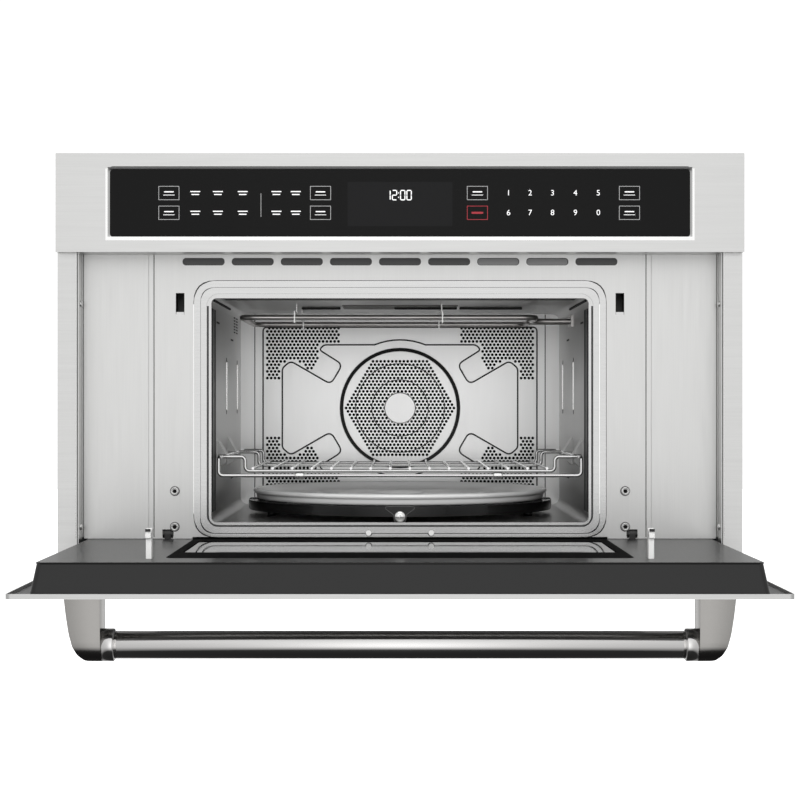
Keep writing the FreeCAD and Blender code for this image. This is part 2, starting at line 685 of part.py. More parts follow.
def cavity_back_wall():
    wall = slab(CAV_HALF + SHEET, CAV_FLOOR - SHEET, CAV_CEILING + SHEET,
                CAV_BACK, CAV_BACK + SHEET, CAV_R + SHEET)
    quarter = [(x * CAV_HALF, z * CAV_HALF) for x, z in CROSS_SHARES]
    right = quarter + [(x, -z) for x, z in reversed(quarter)]
    outline = right + [(-x, -z) for x, z in right]
    cross = prism([V(x, CAV_BACK - CROSS_T, FAN_Z + z) for x, z in outline], V(0, CROSS_T, 0))
    centre = V(0, CAV_BACK - CROSS_T, FAN_Z)
    ring = rod(centre, BACK, DISH_R, CROSS_T).cut(rod(centre, BACK, DISH_R - DISH_RING, CROSS_T))
    return fused([wall, cross]).cut(ring)


def cavity_front_frame():
    low = CAV_FLOOR
    high = CAV_CEILING
    outer = slab(CAV_HALF + FRAME_OUT, PLATE_Z, high + FRAME_OUT, PLATE_Y - FRAME_OUT_T, PLATE_Y, FRAME_R)
    step_r = FRAME_R - (FRAME_OUT - FRAME_STEP)
    step = slab(CAV_HALF + FRAME_STEP, FRAME_STEP_LOW, high + FRAME_STEP,
                PLATE_Y - FRAME_STEP_T, PLATE_Y, step_r)
    groove = slab(CAV_HALF + FRAME_GROOVE, low - FRAME_GROOVE, high + FRAME_GROOVE,
                  PLATE_Y - FRAME_STEP_T, PLATE_Y - FRAME_GROOVE_T, CAV_R + FRAME_GROOVE)
    lip = slab(CAV_HALF + FRAME_LIP, low - FRAME_LIP, high + FRAME_LIP,
               PLATE_Y - FRAME_LIP_T, PLATE_Y - FRAME_GROOVE_T, CAV_R + FRAME_LIP)
    mouth = slab(CAV_HALF - MOUTH_IN, low + MOUTH_IN, high - MOUTH_IN,
                 PLATE_Y - FRAME_STEP_T, PLATE_Y, MOUTH_R)
    pockets = [bumper_rod(side) for side in (-BUMPER_X, BUMPER_X)]
    return cut_all(fused([fused([outer, step]).cut(groove), lip]), [mouth] + pockets)


def bumper_rod(x):
    return rod(V(x, PLATE_Y, FRAME_STEP_LOW), -BACK, BUMPER_R, BUMPER_T)


def rack_support(y):
    """Wall bracket with a ledge under the rack's rail and an anti-tip wedge over it."""
    ledge = RAIL_Z - BAR_R - AIR
    wedge = RAIL_Z + BAR_R + AIR
    inner = CAV_HALF - SUPPORT_OUT
    outline = (
        V(CAV_HALF, y, ledge - SUPPORT_FOOT),
        V(inner, y, ledge - SUPPORT_LEDGE_T),
        V(inner, y, ledge),
        V(CAV_HALF - SUPPORT_WEB, y, ledge),
        V(CAV_HALF - SUPPORT_WEB, y, wedge),
        V(inner, y, wedge),
        V(CAV_HALF, y, wedge + SUPPORT_WEDGE_H),
    )
    return prism(outline, V(0, SUPPORT_L, 0))


def rack_supports():
    return [piece for y in SUPPORT_YS for piece in both_sides(rack_support(y))]


def broil_element():
    """Tube bent into a loop under the ceiling, with both leads through the right wall."""
    left = BROIL_SIDE - CAV_HALF
    right = CAV_HALF - BROIL_TURN
    out = CAV_HALF + BROIL_OUT
    first, last = [BROIL_Y + place for place in BROIL_LEADS]
    plan = ((out, first), (right, first), (right, BROIL_Y), (left, BROIL_Y),
            (left, BROIL_REAR), (right, BROIL_REAR), (right, last), (out, last))
    tube = bent_rod([V(x, y, BROIL_Z) for x, y in plan], BROIL_BEND, TUBE_R)
    flange = block(CAV_HALF - BROIL_FLANGE_T, CAV_HALF, first - BROIL_FLANGE_LAP, last + BROIL_FLANGE_LAP,
                   BROIL_Z - BROIL_FLANGE_H / 2, BROIL_Z + BROIL_FLANGE_H / 2)
    return fused([tube, flange])


def broil_element_clips():
    """Sheet strips hung from the ceiling on two posts, with an eye round each leg."""
    clips = []
    low = BROIL_Z + TUBE_R
    high = low + CLIP_BEAM
    for share in CLIP_SHARES:
        x = share * CAV_HALF
        pieces = [block(x, x + CLIP_T, BROIL_Y, BROIL_REAR, low, high)]
        for y in (BROIL_Y, BROIL_REAR):
            pieces.append(block(x, x + CLIP_T, y - CLIP_LAP, y + CLIP_LAP, BROIL_Z - CLIP_LAP, high))
        for place in CLIP_POSTS:
            y = BROIL_Y + place
            pieces.append(block(x, x + CLIP_T, y, y + CLIP_POST_W, low, CAV_CEILING))
        holes = [rod(V(x, y, BROIL_Z), RIGHT, TUBE_R, CLIP_T) for y in (BROIL_Y, BROIL_REAR)]
        clips.append(cut_all(fused(pieces), holes))
    return clips


def cavity_lamp():
    wall = -CAV_HALF - SHEET
    box = block(wall - LAMP_BOX[0], wall, LAMP_Y - LAMP_BOX[1] / 2, LAMP_Y + LAMP_BOX[1] / 2,
                LAMP_Z - LAMP_BOX[2] / 2, LAMP_Z + LAMP_BOX[2] / 2)
    return fused([box, rod(V(wall, LAMP_Y, LAMP_Z), RIGHT, LAMP_R, SHEET)])


# Convection unit behind the back wall

def convection_housing():
    front = CAV_BACK + SHEET
    back = front + HOUSING_D
    outside = block(-HOUSING_HALF, HOUSING_HALF, front, back, HOUSING_LOW, HOUSING_HIGH)
    inside = block(-HOUSING_HALF + SHEET, HOUSING_HALF - SHEET, front, back - SHEET,
                   HOUSING_LOW + SHEET, HOUSING_HIGH - SHEET)
    cuts = [inside, rod(V(0, back - SHEET, FAN_Z), BACK, FAN_HUB_R, SHEET)]
    cuts += both_sides(rod(V(HEATER_LEAD_X, back - SHEET, FAN_Z + HEATER_R), BACK, TUBE_R, SHEET))
    return cut_all(outside, cuts)


def convection_heater():
    middle = V(0, CAV_BACK + SHEET + HEATER_Y, FAN_Z)
    ring = Part.makeTorus(HEATER_R, TUBE_R, middle, BACK)
    length = HOUSING_D - HEATER_Y + LEAD_OUT
    lead = rod(V(HEATER_LEAD_X, middle.y, FAN_Z + HEATER_R), BACK, TUBE_R, length)
    return fused([ring] + both_sides(lead))


def convection_motor():
    back = CAV_BACK + SHEET + HOUSING_D
    flange = block(-CONV_FLANGE, CONV_FLANGE, back, back + CONV_FLANGE_T,
                   FAN_Z - CONV_FLANGE, FAN_Z + CONV_FLANGE)
    body = rod(V(0, back, FAN_Z), BACK, CONV_MOTOR_R, CONV_MOTOR_L)
    bearing = rod(V(0, back, FAN_Z), BACK, MOTOR_SHAFT_R + RUN, SHAFT_IN + AIR)
    return fused([flange, body]).cut(bearing)


def convection_fan():
    disc_y = CAV_BACK + SHEET + FAN_Y
    back = CAV_BACK + SHEET + HOUSING_D
    pieces = [rod(V(0, disc_y, FAN_Z), BACK, FAN_R, FAN_T)]
    pieces.append(rod(V(0, disc_y - FAN_DEPTH, FAN_Z), BACK, FAN_HUB_R, FAN_DEPTH + FAN_T))
    pieces.append(rod(V(0, disc_y, FAN_Z), BACK, MOTOR_SHAFT_R, back - disc_y + SHAFT_IN))
    for i in range(FAN_BLADES):
        blade = block(0, FAN_R, disc_y - FAN_DEPTH, disc_y, FAN_Z - FAN_T / 2, FAN_Z + FAN_T / 2)
        blade.rotate(V(0, 0, FAN_Z), BACK, i * 360 / FAN_BLADES)
        pieces.append(blade)
    return fused(pieces)


# Turntable

def seat_z():
    return CAV_FLOOR + SUPPORT_TOP_LIFT


def wheel_z():
    return CAV_FLOOR + AIR + WHEEL_R


def wheel_angle(i):
    return -90 + i * 360 / WHEEL_COUNT


def turned_about_table(shape, angle):
    shape.rotate(V(0, TABLE_Y, 0), UP, angle)
    return shape


def turntable_motor():
    under = CAV_FLOOR - SHEET
    body = rod(V(0, TABLE_Y, under - TABLE_MOTOR_H), UP, TABLE_MOTOR_R, TABLE_MOTOR_H)
    ears = block(-TABLE_EAR, TABLE_EAR, TABLE_Y - FLOOR_HOLE_R, TABLE_Y + FLOOR_HOLE_R,
                 under - TABLE_EAR_T, under)
    bearing = rod(V(0, TABLE_Y, under - DRIVE_IN - AIR), UP, DRIVE_R + RUN, DRIVE_IN + AIR)
    return fused([body, ears]).cut(bearing)


def turntable_support():
    """Driven hub with arms, carrying the ring that the tray sits on."""
    top = seat_z()
    skirt_low = CAV_FLOOR + SUPPORT_SKIRT_LIFT
    centre = V(0, TABLE_Y, skirt_low)
    skirt = rod(centre, UP, SUPPORT_R, top - skirt_low)
    skirt = skirt.cut(rod(centre, UP, SUPPORT_R - SUPPORT_SKIRT, top - skirt_low))
    seat_low = V(0, TABLE_Y, top - SUPPORT_SEAT_T)
    seat = rod(seat_low, UP, SUPPORT_R, SUPPORT_SEAT_T)
    seat = seat.cut(rod(seat_low, UP, SUPPORT_R - SUPPORT_SEAT, SUPPORT_SEAT_T))
    hub = rod(V(0, TABLE_Y, CAV_FLOOR + HUB_LIFT), UP, HUB_R, top - CAV_FLOOR - HUB_LIFT)
    drive_low = CAV_FLOOR - SHEET - DRIVE_IN
    drive = rod(V(0, TABLE_Y, drive_low), UP, DRIVE_R, top - drive_low)
    pieces = [skirt, seat, hub, drive]
    for i in range(WHEEL_COUNT):
        pin_from = SUPPORT_R - SUPPORT_SKIRT
        arm = block(0, pin_from, TABLE_Y - ARM_W / 2, TABLE_Y + ARM_W / 2, top - SUPPORT_SEAT_T, top)
        pin = rod(V(pin_from, TABLE_Y, wheel_z()), RIGHT, WHEEL_PIN_R, SUPPORT_SKIRT + AIR + WHEEL_T)
        pieces += [turned_about_table(arm, wheel_angle(i)), turned_about_table(pin, wheel_angle(i))]
    return fused(pieces)


def roller_wheel(i):
    wheel = rod(V(SUPPORT_R + AIR, TABLE_Y, wheel_z()), RIGHT, WHEEL_R, WHEEL_T)
    bore = rod(V(SUPPORT_R + AIR, TABLE_Y, wheel_z()), RIGHT, WHEEL_PIN_R + RUN, WHEEL_T)
    return turned_about_table(wheel.cut(bore), wheel_angle(i))


def turntable_tray():
    low = seat_z()
    outline = (
        V(0, TABLE_Y, low),
        V(TRAY_FOOT_R, TABLE_Y, low),
        V(TRAY_R, TABLE_Y, low + TRAY_H),
        V(TRAY_R - TRAY_T, TABLE_Y, low + TRAY_H),
        V(TRAY_FOOT_R - TRAY_T, TABLE_Y, low + TRAY_T),
        V(0, TABLE_Y, low + TRAY_T),
    )
    face = Part.Face(Part.makePolygon(list(outline) + [outline[0]]))
    return face.revolve(V(0, TABLE_Y, 0), UP, 360)


# Rack

def rail_bar():
    """One bar that forms both rails and the front edge, bent down at the front corners."""
    low = RAIL_Z - RACK_DROP
    ends = RACK_BACK + RAIL_END
    corners = [V(-RAIL_X, ends, RAIL_Z), V(-RAIL_X, RACK_FRONT, RAIL_Z), V(-RAIL_X, RACK_FRONT, low),
               V(RAIL_X, RACK_FRONT, low), V(RAIL_X, RACK_FRONT, RAIL_Z), V(RAIL_X, ends, RAIL_Z)]
    return bent_rod(corners, RACK_BEND, BAR_R)


def cross_bar(y):
    """Cross bar whose ends rise beside the walls and turn out onto the rails."""
    low = RAIL_Z - GRID_DROP
    corners = [V(-RAIL_X, y, RAIL_Z), V(-RISER_X, y, RAIL_Z), V(-RISER_X, y, low),
               V(RISER_X, y, low), V(RISER_X, y, RAIL_Z), V(RAIL_X, y, RAIL_Z)]
    return bent_rod(corners, RACK_BEND, BAR_R)


def wire_rack():
    length = RACK_BACK - RACK_FRONT
    bars = [RACK_FRONT + length * share for share in RACK_BARS]
    pieces = [rail_bar()] + [cross_bar(y) for y in bars]
    grid_z = RAIL_Z - GRID_DROP + GRID_LIFT
    grid_l = bars[-1] - bars[0] + 2 * RAIL_END
    for i in range(GRID_COUNT):
        x = (i - (GRID_COUNT - 1) / 2) * GRID_PITCH
        pieces.append(rod(V(x, bars[0] - RAIL_END, grid_z), BACK, GRID_R, grid_l))
    return fused(pieces)


# Microwave power and cooling

def waveguide():
    low = CAV_CEILING + SHEET
    outside = block(GUIDE_X0, GUIDE_X1, GUIDE_Y0, GUIDE_Y1, low, low + GUIDE_H)
    inside = block(GUIDE_X0 + SHEET, GUIDE_X1 - SHEET, GUIDE_Y0 + SHEET, GUIDE_Y1 - SHEET,
                   low, low + GUIDE_H - SHEET)
    hole = rod(V(MAG_X, GUIDE_MID, low + GUIDE_H - SHEET), UP, ANTENNA_R, SHEET)
    return cut_all(outside, [inside, hole])


def waveguide_cover():
    half = FEED_HALF + COVER_LAP
    reach = FEED_DEEP + COVER_LAP
    return block(-half, half, GUIDE_MID - reach, GUIDE_MID + reach, CAV_CEILING - COVER_T, CAV_CEILING)


def magnetron():
    low = CAV_CEILING + SHEET + GUIDE_H
    core = rod(V(MAG_X, GUIDE_MID, low), UP, MAG_CORE, MAG_H)
    antenna = rod(V(MAG_X, GUIDE_MID, low - ANTENNA_L), UP, ANTENNA_R, ANTENNA_L)
    pieces = [core, antenna]
    for i in range(MAG_FINS):
        z = low + (MAG_H - MAG_FIN_T) * i / (MAG_FINS - 1)
        pieces.append(block(MAG_X - MAG_HALF, MAG_X + MAG_HALF, GUIDE_MID - MAG_HALF, GUIDE_MID + MAG_HALF,
                            z, z + MAG_FIN_T))
    return fused(pieces)


def hv_transformer():
    width, depth, height = TRANS_CORE
    coil_w, coil_d, coil_h = TRANS_COIL
    core = block(BOX_X - width / 2, BOX_X + width / 2, TRANS_Y, TRANS_Y + depth, BASE_T, BASE_T + height)
    middle = TRANS_Y + depth / 2
    coil_z = BASE_T + height / 2
    coil = block(BOX_X - coil_w / 2, BOX_X + coil_w / 2, middle - coil_d / 2, middle + coil_d / 2,
                 coil_z - coil_h / 2, coil_z + coil_h / 2)
    return fused([core, coil])


def hv_capacitor():
    can = slab(CAP_HALF, BASE_T, BASE_T + CAP_H, CAP_Y, CAP_Y + CAP_D, CAP_R, BOX_X)
    width, depth, height = CAP_TAG
    low = BASE_T + CAP_TAG_LIFT
    tag = block(BOX_X - width / 2, BOX_X + width / 2, CAP_Y - depth, CAP_Y, low, low + height)
    return fused([can, tag])


def power_board():
    low = BASE_T + POWER_LIFT
    pieces = [block(-BOX_X - POWER_HALF, -BOX_X + POWER_HALF, POWER_Y0, POWER_Y1, low, low + BOARD_T)]
    for x in (-BOX_X - POWER_HALF + STANDOFF_R, -BOX_X + POWER_HALF - STANDOFF_R):
        for y in (POWER_Y0 + STANDOFF_R, POWER_Y1 - STANDOFF_R):
            pieces.append(rod(V(x, y, BASE_T), UP, STANDOFF_R, POWER_LIFT))
    width, depth, height = HEATSINK
    middle = (POWER_Y0 + POWER_Y1) / 2
    for x in (-BOX_X - width, -BOX_X + width):
        pieces.append(block(x - width / 2, x + width / 2, middle - depth / 2, middle + depth / 2,
                            low + BOARD_T, low + BOARD_T + height))
    return fused(pieces)


def blower_axis():
    return CAV_CEILING + SHEET + BLOW_H / 2


def blower_housing():
    low = CAV_CEILING + SHEET
    front = BLOW_Y0 + BLOW_WALL
    back = BLOW_Y1 - BLOW_WALL
    axis_z = blower_axis()
    outside = block(BLOW_X - BLOW_HALF, BLOW_X + BLOW_HALF, BLOW_Y0, BLOW_Y1, low, low + BLOW_H)
    scroll = rod(V(BLOW_X, front, axis_z), BACK, BLOW_SCROLL, back - front)
    outlet_top = axis_z + BLOW_SCROLL
    outlet = block(BLOW_X, BLOW_X + BLOW_HALF, front, back, outlet_top - OUTLET_H, outlet_top)
    inlet = rod(V(BLOW_X, BLOW_Y0, axis_z), BACK, BLOW_INLET_R, BLOW_WALL)
    shaft = rod(V(BLOW_X, back, axis_z), BACK, BLOW_HUB_R, BLOW_WALL)
    return cut_all(outside, [scroll, outlet, inlet, shaft])


def blower_motor():
    start = V(BLOW_X, BLOW_Y1, blower_axis())
    body = rod(start, BACK, BLOW_MOTOR_R, BLOW_MOTOR_L)
    return body.cut(rod(start, BACK, MOTOR_SHAFT_R + RUN, SHAFT_IN + AIR))


def blower_wheel():
    axis_z = blower_axis()
    front = BLOW_Y0 + 2 * BLOW_WALL
    back = BLOW_Y1 - 2 * BLOW_WALL
    depth, thick = BLOW_BLADE
    disc = rod(V(BLOW_X, back - BLOW_WALL, axis_z), BACK, BLOW_R, BLOW_WALL)
    rim = rod(V(BLOW_X, front, axis_z), BACK, BLOW_R, BLOW_WALL)
    rim = rim.cut(rod(V(BLOW_X, front, axis_z), BACK, BLOW_R - depth, BLOW_WALL))
    shaft_l = BLOW_Y1 - back + BLOW_WALL + SHAFT_IN
    shaft = rod(V(BLOW_X, back - BLOW_WALL, axis_z), BACK, MOTOR_SHAFT_R, shaft_l)
    pieces = [disc, rim, shaft]
    for i in range(BLOW_BLADES):
        blade = block(BLOW_X + BLOW_R - depth + thick, BLOW_X + BLOW_R - thick, front, back,
                      axis_z - thick / 2, axis_z + thick / 2)
        blade.rotate(V(BLOW_X, 0, axis_z), BACK, i * 360 / BLOW_BLADES)
        pieces.append(blade)
    return fused(pieces)


# Latches and hinges on the body

def latch_housing():
    middle = LATCH_SLOT_LOW + LATCH_SLOT_H / 2
    outside = block(LATCH_X - CATCH_W / 2, LATCH_X + CATCH_W / 2, PLATE_BACK, PLATE_BACK + CATCH_D,
                    middle - CATCH_H / 2, middle + CATCH_H / 2)
    half = CATCH_W / 2 - CATCH_WALL
    rise = CATCH_H / 2 - CATCH_WALL
    inside = block(LATCH_X - half, LATCH_X + half, PLATE_BACK, PLATE_BACK + CATCH_D - CATCH_WALL,
                   middle - rise, middle + rise)
    return outside.cut(inside)


def interlock_switch():
    middle = LATCH_SLOT_LOW + LATCH_SLOT_H / 2
    side = LATCH_X + CATCH_W / 2
    return block(side, side + SWITCH[0], PLATE_BACK + CATCH_WALL, PLATE_BACK + CATCH_WALL + SWITCH[1],
                 middle - SWITCH[2] / 2, middle + SWITCH[2] / 2)


def hinge_bracket():
    inner = HINGE_X - KNUCKLE_W / 2 - AIR
    outer = HINGE_X + KNUCKLE_W / 2 + AIR
    back = PLATE_BACK + EAR_D
    low = HINGE_Z - EAR_R
    high = HINGE_Z + EAR_HIGH
    pieces = [
        block(inner - EAR_T, inner, HINGE_Y, back, low, high),
        block(outer, outer + EAR_T, HINGE_Y, back, low, high),
        block(inner - EAR_T, outer + EAR_T, back - EAR_T, back, low, high),
        block(inner - EAR_T - TAB_W, inner - EAR_T, PLATE_BACK, PLATE_BACK + EAR_T,
              PLATE_Z + SHEET, PLATE_Z + TAB_H),
        rod(V(inner - EAR_T, HINGE_Y, HINGE_Z), RIGHT, EAR_R, EAR_T),
        rod(V(outer, HINGE_Y, HINGE_Z), RIGHT, EAR_R, EAR_T),
    ]
    holes = [rod(V(inner - EAR_T, HINGE_Y, HINGE_Z), RIGHT, PIN_R, outer - inner + 2 * EAR_T)]
    for z in PLATE_SCREW_ZS:
        holes.append(rod(V(PLATE_SCREW_X, PLATE_BACK, z), BACK, PLATE_SCREW_R, EAR_T))
    return cut_all(fused(pieces), holes)


def pin_length():
    return KNUCKLE_W + 2 * (AIR + EAR_T)


def hinge_pin():
    return rod(V(HINGE_X - pin_length() / 2, HINGE_Y, HINGE_Z), RIGHT, PIN_R, pin_length())


def plate_screws():
    screws = []
    for z in PLATE_SCREW_ZS:
        head = rod(V(PLATE_SCREW_X, PLATE_Y - PLATE_HEAD_T, z), BACK, PLATE_HEAD_R, PLATE_HEAD_T)
        head = head.cut(rod(V(PLATE_SCREW_X, PLATE_Y - PLATE_HEAD_T, z), BACK, SOCKET_R, PLATE_HEAD_T / 2))
        shank = rod(V(PLATE_SCREW_X, PLATE_Y, z), BACK, PLATE_SCREW_R, PLATE_SCREW_L)
        screws += both_sides(fused([head, shank]))
    return screws


# Door, built shut

def handle_screw_places():
    rise = HANDLE_SCREW_GAP / 2
    return [V(x, 0, z) for x in (-HANDLE_SCREW_X, HANDLE_SCREW_X) for z in (BAR_Z - rise, BAR_Z + rise)]


def door_skin():
    wide = slab(DOOR_HALF, TAIL_TOP, DOOR_TOP, 0, EDGE_D, EDGE_R)
    wide = wide.cut(slab(DOOR_HALF - SHEET, TAIL_TOP + SHEET, DOOR_TOP - SHEET,
                         SHEET, EDGE_D, EDGE_R - SHEET))
    wide = wide.cut(block(-TAIL_HALF - AIR, TAIL_HALF + AIR, SHEET, EDGE_D, TAIL_TOP, TAIL_TOP + SHEET))
    tail = block(-TAIL_HALF, TAIL_HALF, 0, SHEET, DOOR_LOW, TAIL_TOP + SHEET)
    roll = block(-TAIL_HALF, TAIL_HALF, 0, EDGE_D, DOOR_LOW, DOOR_LOW + SHEET)
    cuts = [slab(OUT_WIN_HALF, OUT_WIN_LOW, OUT_WIN_TOP, 0, SHEET, OUT_WIN_R)]
    cuts += [rod(place, BACK, HANDLE_SCREW_R, SHEET) for place in handle_screw_places()]
    return cut_all(fused([wide, tail, roll]), cuts)


def door_outer_glass():
    return slab(OUT_WIN_HALF + OUT_GLASS_LAP, OUT_WIN_LOW - OUT_GLASS_LAP, OUT_WIN_TOP + OUT_GLASS_LAP,
                SHEET, SHEET + OUT_GLASS_T, OUT_WIN_R)


def liner_form(inset, inner_y):
    """Pan with drafted sides; inset moves every wall inwards."""
    low = DOOR_LOW + LINER_INSET + inset
    high = DOOR_TOP - LINER_INSET - inset
    half = TAIL_HALF - inset
    narrow = LINER_DRAFT
    straight = slab(half, low, high, SHEET, EDGE_D, LINER_R)
    near = round_rect(half, low, high, EDGE_D, LINER_R)
    far = round_rect(half - narrow, low + narrow / 2, high - narrow / 2, inner_y, LINER_R)
    return straight.fuse(Part.makeLoft([near, far], True, True))


def inner_glass_face():
    return DOOR_T - IN_GLASS_DROP


def door_liner():
    glass_back = inner_glass_face() - IN_GLASS_T
    frame_y = glass_back - GLASS_FRAME_T
    shell = liner_form(0, DOOR_T).cut(liner_form(LINER_T, DOOR_T - LINER_T))
    lap = IN_GLASS_FIT + GLASS_FRAME_LAP
    frame = slab(IN_GLASS_HALF + lap, IN_GLASS_LOW - lap, IN_GLASS_TOP + lap,
                 frame_y, DOOR_T - LINER_T, IN_GLASS_R)
    recess = slab(IN_GLASS_HALF + IN_GLASS_FIT, IN_GLASS_LOW - IN_GLASS_FIT, IN_GLASS_TOP + IN_GLASS_FIT,
                  glass_back, DOOR_T, IN_GLASS_R)
    view = slab(IN_GLASS_HALF - GLASS_LEDGE, IN_GLASS_LOW + GLASS_LEDGE, IN_GLASS_TOP - GLASS_LEDGE,
                frame_y, glass_back, IN_GLASS_R)
    hook_half = HOOK_W / 2 + ARM_SLOT_FIT
    hook_rise = HOOK_H / 2 + HOOK_SLOT_FIT
    hook = block(LATCH_X - hook_half, LATCH_X + hook_half, DOOR_T - LINER_T, DOOR_T,
                 HOOK_Z - hook_rise, HOOK_Z + hook_rise)
    arm_half = KNUCKLE_W / 2 + ARM_SLOT_FIT
    arm_rise = KNUCKLE_R + ARM_SLOT_FIT
    arm = block(HINGE_X - arm_half, HINGE_X + arm_half, DOOR_T - LINER_T, DOOR_T,
                HINGE_Z - arm_rise, HINGE_Z + arm_rise)
    return cut_all(fused([shell, frame]), [recess, view] + both_sides(hook) + both_sides(arm))


def door_inner_glass():
    face = inner_glass_face()
    return slab(IN_GLASS_HALF, IN_GLASS_LOW, IN_GLASS_TOP, face - IN_GLASS_T, face, IN_GLASS_R)


def door_screen():
    back = inner_glass_face() - IN_GLASS_T - GLASS_FRAME_T
    return slab(IN_GLASS_HALF - SCREEN_LAP, IN_GLASS_LOW + SCREEN_LAP, IN_GLASS_TOP - SCREEN_LAP,
                back - SCREEN_T, back, IN_GLASS_R)


def handle_bar():
    bar = rod(V(-BAR_HALF, -BAR_STAND, BAR_Z), RIGHT, BAR_RADIUS, 2 * BAR_HALF)
    ferrule = rod(V(BAR_HALF, -BAR_STAND, BAR_Z), RIGHT, FERRULE_R, BRACKET_IN - BAR_HALF)
    return fused([bar] + both_sides(ferrule))


def handle_bracket():
    low = BAR_Z - BRACKET_DEPTH / 2
    foot_in = V(BRACKET_IN, 0, low)
    foot_out = V(BRACKET_FOOT, 0, low)
    bow = V(BRACKET_FOOT - BRACKET_BOW, -BRACKET_REACH / 2, low)
    tip_out = V(BRACKET_FOOT - BRACKET_SWEEP, -BRACKET_REACH, low)
    tip_in = V(BRACKET_IN, -BRACKET_REACH, low)
    edges = [
        Part.LineSegment(foot_in, foot_out).toShape(),
        Part.Arc(foot_out, bow, tip_out).toShape(),
        Part.LineSegment(tip_out, tip_in).toShape(),
        Part.LineSegment(tip_in, foot_in).toShape(),
    ]
    body = Part.Face(Part.Wire(edges)).extrude(V(0, 0, BRACKET_DEPTH))
    soft = [e for e in body.Edges if e.CenterOfMass.y < -BRACKET_R]
    soft = [e for e in soft if e.CenterOfMass.x > BRACKET_IN + BRACKET_R]
    body = body.makeFillet(BRACKET_R, soft)
    for place in handle_screw_places():
        body = body.cut(rod(place, -BACK, HANDLE_SCREW_R, HANDLE_SCREW_IN))
    return body


def handle_screws():
    screws = []
    for place in handle_screw_places():
        shank = rod(place + BACK * SHEET, -BACK, HANDLE_SCREW_R, HANDLE_SCREW_IN + SHEET)
        head = rod(place + BACK * SHEET, BACK, HANDLE_HEAD_R, HANDLE_HEAD_T)
        screws.append(fused([shank, head]))
    return screws


def hinge_arm():
    width, thick, height = ARM_FOOT
    seat = DOOR_T - LINER_T
    knuckle = rod(V(HINGE_X - KNUCKLE_W / 2, HINGE_Y, HINGE_Z), RIGHT, KNUCKLE_R, KNUCKLE_W)
    web = block(HINGE_X - KNUCKLE_W / 2, HINGE_X + KNUCKLE_W / 2, seat - thick, HINGE_Y,
                HINGE_Z - KNUCKLE_R, HINGE_Z + KNUCKLE_R)
    foot_low = IN_GLASS_LOW
    foot = block(HINGE_X - width / 2, HINGE_X + width / 2, seat - thick, seat, foot_low, foot_low + height)
    bore = rod(V(HINGE_X - KNUCKLE_W / 2, HINGE_Y, HINGE_Z), RIGHT, PIN_R + RUN, KNUCKLE_W)
    return fused([knuckle, web, foot]).cut(bore)


def latch_hook():
    """Sprung blade with a barb that catches behind the front plate."""
    low = HOOK_Z - HOOK_H / 2
    high = HOOK_Z + HOOK_H / 2
    tip = DOOR_T + HOOK_OUT
    x = LATCH_X - HOOK_W / 2
    outline = (
        V(x, HOOK_Y, low),
        V(x, tip - HOOK_BARB, low),
        V(x, tip, HOOK_Z),
        V(x, tip - HOOK_BARB, high + HOOK_BARB),
        V(x, tip - HOOK_BARB_L, high + HOOK_BARB),
        V(x, tip - HOOK_BARB_L, high),
        V(x, HOOK_Y, high),
    )
    blade = prism(outline, V(HOOK_W, 0, 0))
    barrel = rod(V(LATCH_X - HOOK_BARREL_W / 2, HOOK_Y, HOOK_Z), RIGHT, HOOK_BARREL_R, HOOK_BARREL_W)
    span = HOOK_BARREL_W + 2 * (AIR + CARRIER_EAR)
    trunnion = rod(V(LATCH_X - span / 2, HOOK_Y, HOOK_Z), RIGHT, TRUNNION_R, span)
    return fused([blade, barrel, trunnion])


def latch_carrier():
    seat = DOOR_T - LINER_T
    inner = HOOK_BARREL_W / 2 + AIR
    outer = inner + CARRIER_EAR
    low = HOOK_Z - CARRIER_H / 2
    high = HOOK_Z + CARRIER_H / 2
    front = HOOK_Y - HOOK_BARREL_R - CARRIER_BRIDGE
    pieces = [
        block(LATCH_X - outer, LATCH_X - inner, front, seat, low, high),
        block(LATCH_X + inner, LATCH_X + outer, front, seat, low, high),
        block(LATCH_X - outer, LATCH_X + outer, front - CARRIER_BRIDGE, front, low, high),
    ]
    bore = rod(V(LATCH_X - outer, HOOK_Y, HOOK_Z), RIGHT, TRUNNION_R + RUN, 2 * outer)
    return fused(pieces).cut(bore)


# Write every piece

os.makedirs("parts", exist_ok=True)

write("base_pan", base_pan())
write("outer_wrapper", outer_wrapper())
write("rear_panel", rear_panel())
write("rear_panel_screws", *rear_panel_screws())
write("cord_gland", cord_gland())
write("front_plate", front_plate())
write("left_filler_panel", mirrored(filler_panel()))
write("right_filler_panel", filler_panel())
write("left_side_trim", mirrored(side_trim()))
write("right_side_trim", side_trim())
write("lower_trim", lower_trim())
write("control_fascia", control_fascia())
write("control_glass", control_glass())
write("display_module", display_module())
write("control_board", control_board())
write("cavity_shell", cavity_shell())
write("cavity_back_wall", cavity_back_wall())
write("cavity_front_frame", cavity_front_frame())
write("door_bumpers", bumper_rod(-BUMPER_X), bumper_rod(BUMPER_X))
write("rack_supports", *rack_supports())
write("broil_element", broil_element())
write("broil_element_clips", *broil_element_clips())
write("cavity_lamp", cavity_lamp())
write("convection_housing", convection_housing())
write("convection_heater", convection_heater())
write("convection_motor", convection_motor())
write("convection_fan", convection_fan())
write("turntable_motor", turntable_motor())
write("turntable_support", turntable_support())
write("turntable_tray", turntable_tray())
for wheel in range(WHEEL_COUNT):
    write("roller_wheel_" + str(wheel + 1), roller_wheel(wheel))
write("wire_rack", wire_rack())
write("waveguide", waveguide())
write("waveguide_cover", waveguide_cover())
write("magnetron", magnetron())
write("hv_transformer", hv_transformer())
write("hv_capacitor", hv_capacitor())
write("power_board", power_board())
write("blower_housing", blower_housing())
write("blower_motor", blower_motor())
